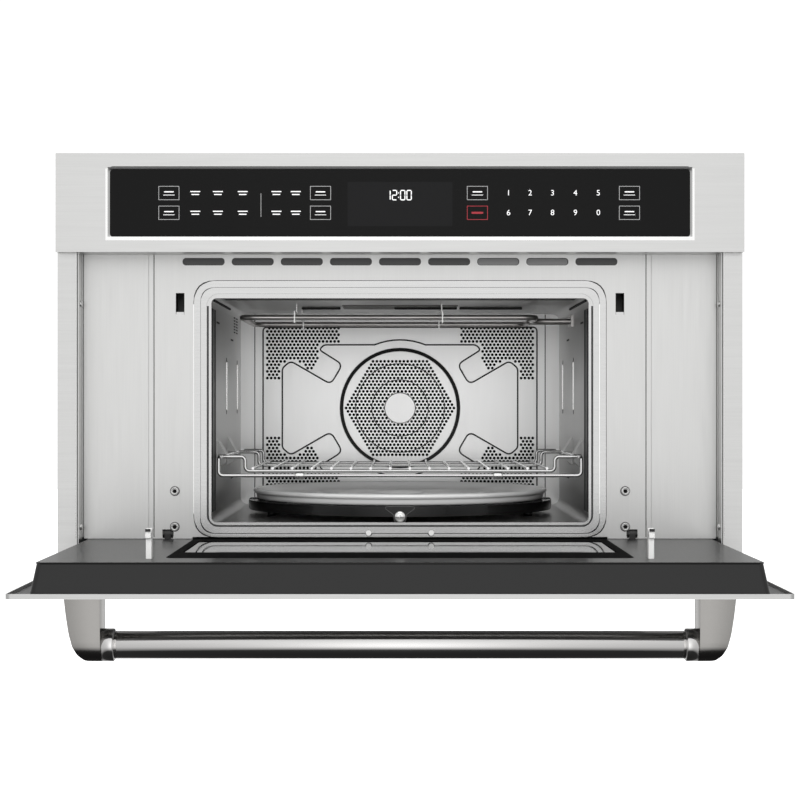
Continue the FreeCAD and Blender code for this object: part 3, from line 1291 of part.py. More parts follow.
write("blower_wheel", blower_wheel())
write("latch_housings", *both_sides(latch_housing()))
write("interlock_switches", *both_sides(interlock_switch()))
write("hinge_brackets", *both_sides(hinge_bracket()))
write("hinge_pins", *both_sides(hinge_pin()))
write("plate_screws", *plate_screws())

write("door_skin", swung_open(door_skin()))
write("door_outer_glass", swung_open(door_outer_glass()))
write("door_liner", swung_open(door_liner()))
write("door_screen", swung_open(door_screen()))
write("door_inner_glass", swung_open(door_inner_glass()))
write("handle_bar", swung_open(handle_bar()))
write("handle_brackets", *[swung_open(piece) for piece in both_sides(handle_bracket())])
write("handle_screws", *[swung_open(piece) for piece in handle_screws()])
write("hinge_arms", *[swung_open(piece) for piece in both_sides(hinge_arm())])
write("latch_carriers", *[swung_open(piece) for piece in both_sides(latch_carrier())])
write("left_latch_hook", swung_open(mirrored(latch_hook())))
write("right_latch_hook", swung_open(latch_hook()))
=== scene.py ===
import bmesh
import bpy
import math
from mathutils import Matrix, Vector


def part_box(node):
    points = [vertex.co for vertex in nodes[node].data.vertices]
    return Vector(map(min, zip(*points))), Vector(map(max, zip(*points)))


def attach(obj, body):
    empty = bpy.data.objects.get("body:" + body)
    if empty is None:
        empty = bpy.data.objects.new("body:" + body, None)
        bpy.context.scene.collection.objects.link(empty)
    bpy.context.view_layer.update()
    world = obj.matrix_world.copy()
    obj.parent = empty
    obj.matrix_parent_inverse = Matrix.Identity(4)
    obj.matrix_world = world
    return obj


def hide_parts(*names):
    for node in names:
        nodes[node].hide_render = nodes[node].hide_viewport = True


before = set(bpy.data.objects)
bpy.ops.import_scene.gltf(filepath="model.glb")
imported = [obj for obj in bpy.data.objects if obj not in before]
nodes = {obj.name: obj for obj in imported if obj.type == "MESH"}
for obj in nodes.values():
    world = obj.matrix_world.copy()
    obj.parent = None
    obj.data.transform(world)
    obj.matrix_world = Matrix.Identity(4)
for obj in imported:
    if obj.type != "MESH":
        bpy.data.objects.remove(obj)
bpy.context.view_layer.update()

# Case
# Base pan, wrapper and rear panel: galvanised sheet folded to shape and screwed together, with
# stiffening beads pressed into the wrapper's sides and top.


class Value:
    """A node's socket used as a number: each operator adds one Math node."""

    def __init__(self, tree, socket):
        self.tree = tree
        self.socket = socket

    def fill(self, slot, term):
        if isinstance(term, Value):
            self.tree.links.new(term.socket, slot)
        else:
            slot.default_value = term

    def node(self, kind, settings, sockets, out=0):
        """Any other node: settings first, then the values or links of its sockets."""
        node = self.tree.nodes.new(kind if "Node" in kind else "ShaderNode" + kind)
        for key, setting in settings.items():
            if key == "stops":
                while len(node.color_ramp.elements) < len(setting):
                    node.color_ramp.elements.new(1.0)
                for stop, (place, tone) in zip(node.color_ramp.elements, setting):
                    stop.position = place
                    stop.color = (tone, tone, tone, 1)
            else:
                setattr(node, key, setting)
        for key, term in sockets.items():
            self.fill(node.inputs[key], term)
        return Value(self.tree, node.outputs[out])

    def maths(self, operation, *terms):
        return self.node("Math", {"operation": operation}, dict(enumerate(terms)))

    def __add__(self, other):
        return self.maths("ADD", self, other)

    def __radd__(self, other):
        return self.maths("ADD", other, self)

    def __sub__(self, other):
        return self.maths("SUBTRACT", self, other)

    def __rsub__(self, other):
        return self.maths("SUBTRACT", other, self)

    def __mul__(self, other):
        return self.maths("MULTIPLY", self, other)

    def __rmul__(self, other):
        return self.maths("MULTIPLY", other, self)

    def __abs__(self):
        return self.maths("ABSOLUTE", self)


def plain_finish(name, colour, rough, metal=0.0, coat=0.0, gloss=0.5):
    """A Principled material with even values; returns it with its shader and Object coordinates."""
    material = bpy.data.materials.new(name)
    material.use_nodes = True
    shader = material.node_tree.nodes["Principled BSDF"]
    shader.inputs["Base Color"].default_value = (*colour, 1)
    shader.inputs["Roughness"].default_value = rough
    shader.inputs["Metallic"].default_value = metal
    shader.inputs["Coat Weight"].default_value = coat
    shader.inputs["Specular IOR Level"].default_value = gloss
    places = material.node_tree.nodes.new("ShaderNodeTexCoord").outputs["Object"]
    return material, shader, Value(material.node_tree, places)


def noise(here, scale, detail):
    return here.node("TexNoise", {}, {"Vector": here, "Scale": scale, "Detail": detail})


def tint(here, shader, colour, mask, shade):
    """Moves the base colour towards a shade by a mask."""
    ends = {0: mask, 6: (*colour, 1), 7: (*shade, 1)}
    here.fill(shader.inputs["Base Color"], here.node("Mix", {"data_type": "RGBA"}, ends, out=2))


def relief(here, shader, height, strength, depth):
    """Bump from a height field; depth in metres."""
    bump = here.node("Bump", {}, {"Strength": strength, "Distance": depth, "Height": height})
    here.fill(shader.inputs["Normal"], bump)


def dress(material, *names):
    """Gives CAD nodes a finish."""
    for name in names:
        nodes[name].data.materials.clear()
        nodes[name].data.materials.append(material)


def new_object(name, data):
    thing = bpy.data.objects.new(name, data)
    bpy.context.scene.collection.objects.link(thing)
    return thing


def joined(meshes):
    """One mesh from several, which are used up."""
    if len(meshes) == 1:
        return meshes[0]
    verts, faces, smooth = [], [], []
    for mesh in meshes:
        first = len(verts)
        verts += [v.co.copy() for v in mesh.vertices]
        faces += [[first + i for i in p.vertices] for p in mesh.polygons]
        smooth += [p.use_smooth for p in mesh.polygons]
        bpy.data.meshes.remove(mesh)
    whole = bpy.data.meshes.new("whole")
    whole.from_pydata(verts, [], faces)
    whole.polygons.foreach_set("use_smooth", smooth)
    return whole


def ride_with(name, material, slot, *meshes, body="chassis"):
    """A finished piece at the origin, joined from its meshes and moving with a body."""
    mesh = joined(meshes)
    mesh.name = name
    mesh.materials.clear()
    mesh.materials.append(material)
    piece = new_object(name, mesh)
    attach(piece, body)
    return piece


def mesh_of(curve):
    """A curve or text as a plain mesh; the curve is used up."""
    carrier = bpy.data.objects.new("carrier", curve)
    mesh = bpy.data.meshes.new_from_object(carrier)
    bpy.data.objects.remove(carrier)
    bpy.data.curves.remove(curve)
    return mesh


def curve_mesh(outlines, flat, raised, round_r, closed, segments):
    """A mesh from point lists: filled and raised where flat, else a round wire."""
    curve = bpy.data.curves.new("outline", "CURVE")
    curve.dimensions = "2D" if flat else "3D"
    curve.fill_mode = "BOTH" if flat else "FULL"
    curve.extrude = raised
    curve.bevel_depth = round_r
    curve.bevel_resolution = segments
    curve.use_fill_caps = not flat
    for points in outlines:
        spline = curve.splines.new("POLY")
        spline.points.add(len(points) - 1)
        for slot, point in zip(spline.points, points):
            slot.co = (*point, 0.0, 1.0) if len(point) == 2 else (*point, 1.0)
        spline.use_cyclic_u = closed
    return mesh_of(curve)


def set_at(mesh, side, place):
    """Turns a mesh drawn flat to face out on one side of the case, and places it."""
    turns = {
        "front": ((1, 0, 0), (0, 0, -1), (0, 1, 0)),
        "right": ((0, 0, 1), (1, 0, 0), (0, 1, 0)),
        "left": ((0, 0, -1), (-1, 0, 0), (0, 1, 0)),
        "up": ((1, 0, 0), (0, 1, 0), (0, 0, 1)),
        "down": ((1, 0, 0), (0, -1, 0), (0, 0, -1)),
    }
    mesh.transform(Matrix.Translation(place) @ Matrix(turns[side]).to_4x4())
    return mesh


def plate(side, place, outlines, raised, round_r=0.0):
    """A flat sheet of an outline, with any further outlines cut out, raised to both sides."""
    return set_at(curve_mesh(outlines, True, raised, round_r, True, 3), side, place)


CORNER_POINTS = 7


def rounded(points, radius):
    """A closed outline with each corner turned into an arc."""
    result = []
    for i, point in enumerate(points):
        corner = Vector(point)
        before = Vector(points[i - 1]) - corner
        after = Vector(points[(i + 1) % len(points)]) - corner
        half_turn = before.angle(after) / 2
        reach = min(radius / math.tan(half_turn), before.length * 0.49, after.length * 0.49)
        start = corner + before.normalized() * reach
        end = corner + after.normalized() * reach
        for k in range(CORNER_POINTS):
            t = k / (CORNER_POINTS - 1)
            result.append(tuple(start * (1 - t) ** 2 + corner * (2 * t * (1 - t)) + end * t ** 2))
    return result


def box_outline(x0, x1, z0, z1, radius):
    return rounded([(x0, z0), (x1, z0), (x1, z1), (x0, z1)], radius)


def centred(width, height, radius, x=0.0, z=0.0):
    return box_outline(x - width / 2, x + width / 2, z - height / 2, z + height / 2, radius)


ZINC = (0.50, 0.51, 0.52)
galvanised, zinc_shader, zinc = plain_finish("galvanised_sheet", ZINC, 0.42, 0.85)
spangle = zinc.node("TexVoronoi", {}, {"Vector": zinc, "Scale": 90.0}, out=1)
spangle_grey = zinc.node("RGBToBW", {}, {"Color": spangle})
handling = noise(zinc, 9.0, 4.0)
tint(zinc, zinc_shader, ZINC, 0.6 * spangle_grey + 0.4 * handling, (0.36, 0.37, 0.39))
zinc.fill(zinc_shader.inputs["Roughness"], 0.32 + 0.16 * spangle_grey + 0.1 * handling)
relief(zinc, zinc_shader, spangle_grey, 0.06, 0.0004)
dress(galvanised, "base_pan", "outer_wrapper", "rear_panel", "convection_housing", "waveguide")
case_low, case_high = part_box("outer_wrapper")
case_mid_y = (case_low.y + case_high.y) / 2
BEAD_L = 0.36
BEAD_W = 0.022
BEAD_T = 0.0008
BEAD_ROUND = 0.0007
BEAD_HEIGHTS = (0.10, 0.17, 0.24, 0.31, 0.38)
BEAD_ROWS = (-0.13, -0.03, 0.07, 0.17)
bead_outline = centred(BEAD_L, BEAD_W, BEAD_W * 0.49)
bead_places = [("right", (case_high.x, case_mid_y, z)) for z in BEAD_HEIGHTS]
bead_places += [("left", (case_low.x, case_mid_y, z)) for z in BEAD_HEIGHTS]
bead_places += [("up", (0, y, case_high.z)) for y in BEAD_ROWS]
beads = [plate(side, place, [bead_outline], BEAD_T, BEAD_ROUND) for side, place in bead_places]
ride_with("case_beads", galvanised, "galvanised_steel", *beads)

# Rear louvre lips
# Each air slot in the rear panel has a lip pressed out over it from the same sheet: one row of
# ten low down and three rows higher up.


def new_tree(name, sizes):
    """Starts a Geometry Nodes tree; returns its named inputs, a geometry and the sizes."""
    tree = bpy.data.node_groups.new(name, "GeometryNodeTree")
    for label, kind in {"Geometry": "Geometry", **sizes}.items():
        tree.interface.new_socket(label, in_out="INPUT", socket_type="NodeSocket" + kind)
    tree.interface.new_socket("Geometry", in_out="OUTPUT", socket_type="NodeSocketGeometry")
    given = tree.nodes.new("NodeGroupInput")
    return {label: Value(tree, given.outputs[label]) for label in ("Geometry", *sizes)}


def close_tree(field, finish):
    """Ends a tree: instances made real, and given their finish."""
    real = field.node("GeometryNodeRealizeInstances", {}, {"Geometry": field})
    done = field.node("GeometryNodeSetMaterial", {}, {"Geometry": real, "Material": finish})
    field.fill(field.tree.nodes.new("NodeGroupOutput").inputs[0], done)
    return field.tree


def modified(source, kind, settings, sockets):
    """The plain mesh that a modifier makes of another, which is used up."""
    carrier = new_object("carrier", source)
    modifier = carrier.modifiers.new("build", kind)
    for key, setting in settings.items():
        setattr(modifier, key, setting)
    for key, term in sockets.items():
        modifier[key] = term
    graph = bpy.context.evaluated_depsgraph_get()
    mesh = bpy.data.meshes.new_from_object(carrier.evaluated_get(graph))
    carrier.modifiers.clear()
    bpy.data.objects.remove(carrier)
    bpy.data.meshes.remove(source)
    return mesh


def run_tree(tree, source, values):
    """A tree's result on a mesh, with its inputs given by name and set by identifier."""
    sockets = {item.identifier: values[item.name]
               for item in tree.interface.items_tree if item.name in values}
    return modified(source, "NODES", {"node_group": tree}, sockets)


def repeat_tree():
    """The input shape, repeated along X and Z."""
    given = new_tree("repeat_in_rows", {
        "Columns": "Int", "Rows": "Int", "Column step": "Float", "Row step": "Float",
        "Finish": "Material"})
    shape = given["Geometry"]
    for count, step, axis in (("Columns", "Column step", "X"), ("Rows", "Row step", "Z")):
        offset = shape.node("CombineXYZ", {}, {axis: given[step]})
        line = shape.node("GeometryNodeMeshLine", {}, {"Count": given[count], "Offset": offset})
        shape = shape.node("GeometryNodeInstanceOnPoints", {}, {"Points": line, "Instance": shape})
    return close_tree(shape, given["Finish"])


rows_tree = repeat_tree()


def in_rows(mesh, finish, columns, column_step, rows=1, row_step=0.0):
    """A mesh repeated in rows; the source mesh is used up."""
    return run_tree(rows_tree, mesh, {
        "Columns": columns, "Rows": rows, "Column step": column_step, "Row step": row_step,
        "Finish": finish})


def outward(mesh):
    """The mesh with its doubles merged and its faces turned outwards."""
    work = bmesh.new()
    work.from_mesh(mesh)
    bmesh.ops.remove_doubles(work, verts=work.verts, dist=0.000001)
    bmesh.ops.recalc_face_normals(work, faces=work.faces)
    work.to_mesh(mesh)
    work.free()
    return mesh


LIP_L = 0.042
LIP_RISE = 0.007
LIP_OUT = 0.0024
LIP_SHEET = 0.0006
LIP_STEPS = 12
LIP_ARC = 5
SLOT_STEP = 0.056


def half_lip():
    """A louvre lip: half an arched blister of sheet metal, open along its lower edge."""
    verts, faces = [], []
    for shrink in (0.0, LIP_SHEET):
        for i in range(LIP_STEPS + 1):
            x = -LIP_L / 2 + LIP_L * i / LIP_STEPS
            swell = math.sqrt(max(0.0, 1 - (2 * x / LIP_L) ** 6))
            for k in range(LIP_ARC + 1):
                turn = math.pi / 2 * k / LIP_ARC
                verts.append((x, (LIP_OUT - shrink) * swell * math.cos(turn),
                              (LIP_RISE - shrink) * swell * math.sin(turn)))
    inner = len(verts) // 2
    row = LIP_ARC + 1
    for first in range(0, LIP_STEPS * row, row):
        for a in range(first, first + LIP_ARC):
            outside = (a, a + 1, a + row + 1, a + row)
            faces += [outside, tuple(inner + v for v in reversed(outside))]
        for a in (first, first + LIP_ARC):
            faces.append((a, a + row, inner + a + row, inner + a))
    mesh = bpy.data.meshes.new("lip")
    mesh.from_pydata(verts, [], faces)
    curved = [i % (2 * row) < 2 * LIP_ARC for i in range(len(faces))]
    mesh.polygons.foreach_set("use_smooth", curved)
    return outward(mesh)


rear_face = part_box("rear_panel")[1].y
lips = []
for first_z, rows, row_step in ((0.115, 1, 0.0), (0.355, 3, 0.02)):
    lip = half_lip()
    lip.transform(Matrix.Translation((-4.5 * SLOT_STEP, rear_face, first_z)))
    lips.append(in_rows(lip, galvanised, 10, SLOT_STEP, rows, row_step))
ride_with("rear_louvre_lips", galvanised, "galvanised_steel", *lips)

# Front sheets
# The fascia, trims, door skin, front plate, fillers and mouth frame: stainless with a fine rolled
# grain, light and even, with a slow drift of tone from the polishing belt.


def brushed_finish(name, colour, rough, grain, along="x"):
    """Stainless with its grain along X or Z."""
    material, shader, here = plain_finish(name, colour, rough, 1.0)
    scale = (14.0, 900.0, 900.0) if along == "x" else (900.0, 900.0, 14.0)
    streak = noise(here.node("Mapping", {}, {"Vector": here, "Scale": scale}), 1.0, 3.0)
    drift = noise(here, 3.0, 1.0)
    shade = tuple(0.86 * c for c in colour)
    tint(here, shader, colour, grain * streak + 0.25 * drift, shade)
    here.fill(shader.inputs["Roughness"], rough - 0.06 + 0.12 * streak)
    relief(here, shader, streak, 0.05 * grain, 0.0002)
    return material


face_steel = brushed_finish("face_brushed_steel", (0.70, 0.70, 0.692), 0.32, 0.5)
dress(face_steel, "control_fascia", "left_side_trim", "right_side_trim", "lower_trim", "door_skin")
plate_steel = brushed_finish("plate_satin_steel", (0.80, 0.80, 0.790), 0.42, 0.3, along="z")
dress(plate_steel, "front_plate", "left_filler_panel", "right_filler_panel")
frame_steel = brushed_finish("mouth_frame_steel", (0.64, 0.64, 0.636), 0.25, 0.15)
dress(frame_steel, "cavity_front_frame")

# Vent row
# Nine slots in the front plate let the cooling air out. Dark sheets behind them are painted shade
# inside the slots, and two of them show a lighter flap.


def coated_finish(name, colour, rough, metal=0.0, coat=0.0, peel=300.0, depth=0.0002, gloss=0.5):
    """Smooth coating, moulding or glaze with a faint orange peel."""
    material, shader, here = plain_finish(name, colour, rough, metal, coat, gloss)
    skin = noise(here, peel, 2.0)
    shade = tuple(0.82 * c for c in colour)
    tint(here, shader, colour, 0.5 * noise(here, 6.0, 2.0), shade)
    here.fill(shader.inputs["Roughness"], rough - 0.04 + 0.08 * skin)
    relief(here, shader, skin, 0.10, depth)
    return material


plate_low, plate_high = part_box("front_plate")
VENT_Z = 0.3697
VENT_STEP = 0.0549
# The dark grey of these sheets is painted shade inside the vent slots.
vent_painted_shade = coated_finish("vent_painted_shade", (0.115,) * 3, 0.5, gloss=0.2)
baffle = plate("front", (-4 * VENT_STEP, plate_high.y + 0.0012, VENT_Z),
               [centred(0.049, 0.0104, 0.0045)], 0.0005)
ride_with("vent_baffles", vent_painted_shade, "inner_plastic", in_rows(baffle, vent_painted_shade, 9, VENT_STEP))
duct_grey = coated_finish("duct_grey", (0.30,) * 3, 0.5, gloss=0.2)
flap = plate("front", (2 * VENT_STEP, plate_high.y + 0.0004, VENT_Z),
             [centred(0.045, 0.0072, 0.0032)], 0.0002)
ride_with("vent_flaps", duct_grey, "inner_plastic", in_rows(flap, duct_grey, 2, VENT_STEP))

# Seams, painted shade and painted highlights round the cavity mouth
# The pressed frame meets the plate, its own step and the cavity in fine creases, traced by dark
# wires of painted shade. Bright steel strips on two of its edges are painted highlights, and two
# pale rubber bumpers are pushed into its lower run, each ringed by a painted shadow.


def bright_finish(name, colour, rough):
    """Polished or plated metal with a trace of haze."""
    material, shader, here = plain_finish(name, colour, rough, 1.0)
    here.fill(shader.inputs["Roughness"], rough + 0.08 * noise(here, 160.0, 2.0))
    return material


def wire(path, radius, closed=True, segments=2):
    """A round wire along points."""
    return curve_mesh([path], False, 0.0, radius, closed, segments)


def facing(y, outlines, raised, round_r=0.0):
    """A flat sheet that faces forward at a depth."""
    return plate("front", (0, y, 0), outlines, raised, round_r)


def upright(points, y):
    """An outline stood up across the case at a depth."""
    return [(x, y, z) for x, z in points]


def arc_points(radius, start, stop, steps):
    angles = [math.radians(start + (stop - start) * i / steps) for i in range(steps + 1)]
    return [(radius * math.cos(a), radius * math.sin(a)) for a in angles]


def circle_at(x, z, radius):
    return [(x + u, z + v) for u, v in arc_points(radius, 0, 350, 35)]


crease = coated_finish("crease_shadow", (0.03,) * 3, 0.6, depth=0.0001, gloss=0.2)
# A grey for painted shade along steps and edges, also used as a painted highlight on black parts.
grey_shade_and_highlight = coated_finish("grey_painted_shade_and_highlight", (0.16,) * 3, 0.5, 0.6, depth=0.0001, gloss=0.3)
groove_dark = coated_finish("groove_shadow", (0.07,) * 3, 0.5, 0.4, depth=0.0001, gloss=0.3)
# A bright steel for bright parts, also used for painted highlights along edges.
bright_steel_and_highlight = bright_finish("bright_steel_and_painted_highlight", (0.90, 0.90, 0.89), 0.2)
mouth_low, mouth_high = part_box("cavity_front_frame")
PLATE_FACE = plate_low.y
outer_outline = box_outline(-mouth_high.x, mouth_high.x, mouth_low.z, mouth_high.z, 0.024)
# Dark wires along the frame's outline, its step and its lower run are painted shade in the creases.
outer_seam = wire(upright(outer_outline, PLATE_FACE), 0.0007)
ride_with("mouth_outer_seam", crease, "satin_plate", outer_seam)
STEP_X = 0.2225
step_path = upright(box_outline(-STEP_X, STEP_X, 0.0665, 0.3405, 0.0163), PLATE_FACE - 0.0014)
ride_with("mouth_step_seam", grey_shade_and_highlight, "satin_plate", wire(step_path, 0.0005))
lower_crease = wire(step_path[:2 * CORNER_POINTS], 0.0008, closed=False)
ride_with("mouth_lower_crease", crease, "satin_plate", lower_crease)
# Bright steel strips by the left outer edge and on the right step are painted highlights.
bright_lines = [facing(y, [centred(0.0016, 0.234, 0.0004, x, 0.205)], 0.0001)
                for x, y in ((-mouth_high.x, PLATE_FACE - 0.0009), (STEP_X, PLATE_FACE - 0.0021))]
ride_with("mouth_bright_lines", bright_steel_and_highlight, "satin_plate", *bright_lines)
GROOVE_X = 0.2147
GROOVE_TOP = 0.3200
GROOVE_LOW = 0.0743
groove_corners = [(-GROOVE_X, GROOVE_TOP), (-GROOVE_X, GROOVE_LOW),
                  (GROOVE_X, GROOVE_LOW), (GROOVE_X, GROOVE_TOP)]
groove_turns = rounded(groove_corners, 0.0127)[CORNER_POINTS:-CORNER_POINTS]
groove_path = [groove_corners[0]] + groove_turns + [groove_corners[-1]]
groove_seam = wire(upright(groove_path, PLATE_FACE - 0.0010), 0.0010, closed=False)
ride_with("mouth_groove_shadow", groove_dark, "satin_plate", groove_seam)
bumper_rubber = coated_finish("bumper_rubber", (0.88, 0.88, 0.87), 0.4, depth=0.0003)
dress(bumper_rubber, "door_bumpers")
bumper_low, bumper_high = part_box("door_bumpers")
BUMPER_R = (bumper_high.z - bumper_low.z) / 2 + 0.0003
bumper_z = (bumper_low.z + bumper_high.z) / 2
# A dark ring round each bumper is painted shadow.
rims = [wire(upright(circle_at(x, bumper_z, BUMPER_R), mouth_low.y + 0.0006), 0.0005)
        for x in (bumper_low.x + BUMPER_R, bumper_high.x - BUMPER_R)]
ride_with("bumper_rims", crease, "satin_plate", *rims)

# Plate seams and sills, with painted highlights and shade
# The fillers meet the plate and the folded side trims in fine seams. Bright wires along the trims'
# inner edges are painted highlights. Steel ledges show in the latch slots, sills close the plate's
# lower edge, and the fascia's edges are turned back, with dark wires of painted shade along them,
# darkest under the fascia.
trim_low, trim_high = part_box("right_side_trim")
filler_low, filler_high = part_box("right_filler_panel")
face_low, face_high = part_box("control_fascia")
FACE_Y = face_low.y
SILL_LOW = 0.0601
SILL_TOP = 0.0624


def upright_line(x, y, z0, z1, radius):
    return wire([(x, y, z0), (x, y, z1)], radius, closed=False)


def filler_line(x, radius):
    return upright_line(x, PLATE_FACE, filler_low.z, filler_high.z, radius)


dark_seams, soft_seams, pale_seams, edge_beads, ledges, sills = [], [], [], [], [], []
# The bright wires along the trims' inner edges, built in this loop, are painted highlights.
for side in (-1, 1):
    trim_seam_x = side * (trim_low.x + 0.0013)
    dark_seams.append(filler_line(side * filler_low.x, 0.0005))
    dark_seams.append(upright_line(trim_seam_x, trim_low.y, trim_low.z, trim_high.z, 0.0005))
    soft_seams.append(filler_line(side * (trim_low.x - 0.0010), 0.0005))
    pale_seams.append(filler_line(side * (filler_low.x + 0.006), 0.0004))
    edge_beads.append(upright_line(side * (trim_low.x + 0.0032), trim_low.y + 0.0004,
                                   SILL_TOP + 0.0001, trim_high.z, 0.0007))
    ledge_outline = box_outline(*sorted((side * 0.2414, side * 0.2502)), 0.3104, 0.3134, 0.0004)
    ledges.append(facing(plate_high.y - 0.0004, [ledge_outline], 0.0002))
    sill_outline = box_outline(*sorted((side * 0.232, side * 0.353)), SILL_LOW, SILL_TOP, 0.0003)
    sills.append(facing(PLATE_FACE + 0.0004, [sill_outline], 0.0003))
# The wire along the fascia's lower edge is painted shadow under it; grey wires on its sides are
# painted shade.
LOWER_R = 0.0006
under_fascia_shadow = [(x, FACE_Y + LOWER_R, face_low.z + LOWER_R)
              for x in (face_low.x + LOWER_R, face_high.x - LOWER_R)]
dark_seams.append(wire(under_fascia_shadow, LOWER_R, closed=False))
SIDE_R = 0.0004
edge_lines = [upright_line(x, FACE_Y + 0.0006, face_low.z, face_high.z - SIDE_R, SIDE_R)
              for x in (face_low.x + SIDE_R, face_high.x - SIDE_R)]
ride_with("plate_dark_seams", crease, "satin_plate", *dark_seams)
ride_with("plate_soft_seams", grey_shade_and_highlight, "satin_plate", *soft_seams)
ride_with("plate_pale_seams", plate_steel, "satin_plate", *pale_seams)
ride_with("latch_slot_ledges", frame_steel, "satin_plate", *ledges)
ride_with("plate_sills", plate_steel, "satin_plate", *sills)
ride_with("trim_edge_beads", bright_steel_and_highlight, "brushed_stainless", *edge_beads)
ride_with("fascia_edge_lines", grey_shade_and_highlight, "brushed_stainless", *edge_lines)

# Cavity
# A welded stainless tunnel with rounded corners, its steel given a darker tone than the same
# stainless on the back wall: painted shade. Dark bands just behind its mouth are painted shade too.
# Two narrow ribs stand on each side wall, slots let hot air out, a dark wire along each top corner
# is painted shadow, and wedge brackets hold the rack.
# This steel is darker than the same stainless on the back wall: painted shade on the cavity walls.
cavity_steel = brushed_finish("cavity_steel", (0.46, 0.46, 0.455), 0.34, 0.25, along="z")
dress(cavity_steel, "cavity_shell", "rack_supports")
dress(coated_finish("mica_sheet", (0.22, 0.215, 0.20), 0.5, 0.2, peel=80.0), "waveguide_cover")
dress(coated_finish("lamp_lens", (0.55, 0.54, 0.50), 0.3, coat=0.2, peel=100.0), "cavity_lamp")
CAV_X = 0.212
CAV_TOP = 0.330
WALLS = ((-CAV_X, "right"), (CAV_X, "left"))
RIB_Z = 0.2325


def at_depth(mm):
    """The place of a depth measured back from the fascia's face."""
    return FACE_Y + mm / 1000


ribs, rib_ends, bands, slits = [], [], [], []
rib_outline = centred(0.0032, 0.060, 0.0015)
rib_end_outline = centred(0.0036, 0.006, 0.0012)
dash_outline = centred(0.032, 0.0022, 0.001)
for x, wall in WALLS:
    for depth in (229, 375):
        ribs.append(plate(wall, (x, at_depth(depth), RIB_Z), [rib_outline], 0.0008, 0.0006))
        for z in (0.201, 0.264):
            rib_ends.append(plate(wall, (x, at_depth(depth), z), [rib_end_outline], 0.0003))
    for depth, z in ((124, 0.305), (302, 0.291), (302, 0.118)):
        slits.append(plate(wall, (x, at_depth(depth), z), [dash_outline], 0.0003))
    # A dark wire along the wall's top corner is painted shadow.
    corner_x = x - math.copysign(0.0034, x)
    corner_line = [(corner_x, at_depth(depth), CAV_TOP - 0.0034) for depth in (46, 238)]
    slits.append(wire(corner_line, 0.0014, closed=False))
ride_with("wall_ribs", bright_steel_and_highlight, "cavity_steel", *ribs)
ride_with("wall_rib_ends", crease, "cavity_steel", *rib_ends)

# Dark bands on the walls and roof just behind the mouth are painted shade.
throat_shade = coated_finish("throat_painted_shade", (0.065,) * 3, 0.6, depth=0.0001, gloss=0.1)
BAND_T = 0.0001
for first, last in ((46, 73), (80, 99)):
    band_y = at_depth((first + last) / 2)
    band_l = (last - first) / 1000
    wall_band = centred(band_l, 0.230, 0.001)
    bands += [plate(wall, (x, band_y, 0.2035), [wall_band], BAND_T) for x, wall in WALLS]
    bands.append(plate("down", (0, band_y, CAV_TOP), [centred(0.4, band_l, 0.001)], BAND_T))
ride_with("throat_bands", throat_shade, "cavity_steel", *bands)

for x0, x1 in ((-0.121, -0.073), (-0.007, 0.070), (0.073, 0.150)):
    slit_outline = box_outline(x0, x1, CAV_TOP - 0.0036, CAV_TOP - 0.0004, 0.0012)
    slits.append(facing(at_depth(241), [slit_outline], 0.0004))
for depth in (338, 370):
    lamp_place = (-CAV_X, at_depth(depth), 0.302)
    lamp_dash = plate("right", lamp_place, [centred(0.022, 0.0018, 0.0008)], 0.0002)
    slits.append(in_rows(lamp_dash, crease, 1, 0.0, 6, 0.0037))
ride_with("cavity_slots", crease, "cavity_steel", *slits)

# Back wall
# One pressed sheet: a raised cross with rounded arms round a dished fan grille, perforated in
# a hexagon over the fan and in the four corners, inside a stepped border.
# This steel is much lighter than the cavity's, though both are the same stainless: painted light on
# the back wall.
back_steel = brushed_finish("back_wall_steel", (0.90, 0.90, 0.895), 0.34, 0.15, along="z")
WALL_Y = at_depth(430)
CROSS_UP = 0.003
CROSS_ROUND = 0.0005
CROSS_Y = WALL_Y - CROSS_UP
CROSS_HALF_H = 0.084
CROSS_ARM = [(0.101, CROSS_HALF_H), (0.1075, 0.0775), (0.0765, 0.0580), (0.0920, 0.0315),
             (0.1455, 0.0625), (0.1565, 0.0530)]
ARCH_R = 0.0906
FAN_Z = 0.205
DISH_OUT = 0.0804
DISH_IN = 0.0752
CAP_R = 0.0196


def at_fan(points):
    """An outline drawn round the fan's centre, moved up to it."""
    return [(x, z + FAN_Z) for x, z in points]


def fan_ring(radius):
    return at_fan(arc_points(radius, 0, 354, 59))


def cross_outline():
    """The raised cross: two pairs of arms, arched over and under the dish."""
    corners = CROSS_ARM + [(x, -z) for x, z in reversed(CROSS_ARM)]
    right = rounded([(0.0, CROSS_HALF_H)] + corners + [(0.0, -CROSS_HALF_H)], 0.0085)
    right = [p for p in right if p[0] > 0.034]
    left = [(-x, -z) for x, z in right]
    over, under = arc_points(ARCH_R, 112, 68, 8), arc_points(ARCH_R, -68, -112, 8)
    return at_fan(over + right + under + left)


sheet = facing(WALL_Y + 0.0006, [box_outline(-0.2132, 0.2132, 0.0758, 0.3312, 0.0112)], 0.0006)
raised_y = WALL_Y - CROSS_UP / 2
raised_half = CROSS_UP / 2 - CROSS_ROUND
cross = facing(raised_y, [cross_outline(), fan_ring(DISH_OUT)], raised_half, CROSS_ROUND)
dish = facing(raised_y, [fan_ring(DISH_IN)], raised_half, CROSS_ROUND)
fan_cap = facing(CROSS_Y - 0.0006, [fan_ring(CAP_R)], 0.0004, 0.0012)
back_wall = ride_with("back_wall_pressed", back_steel, "cavity_steel", sheet, cross, dish, fan_cap)
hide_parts("cavity_back_wall")

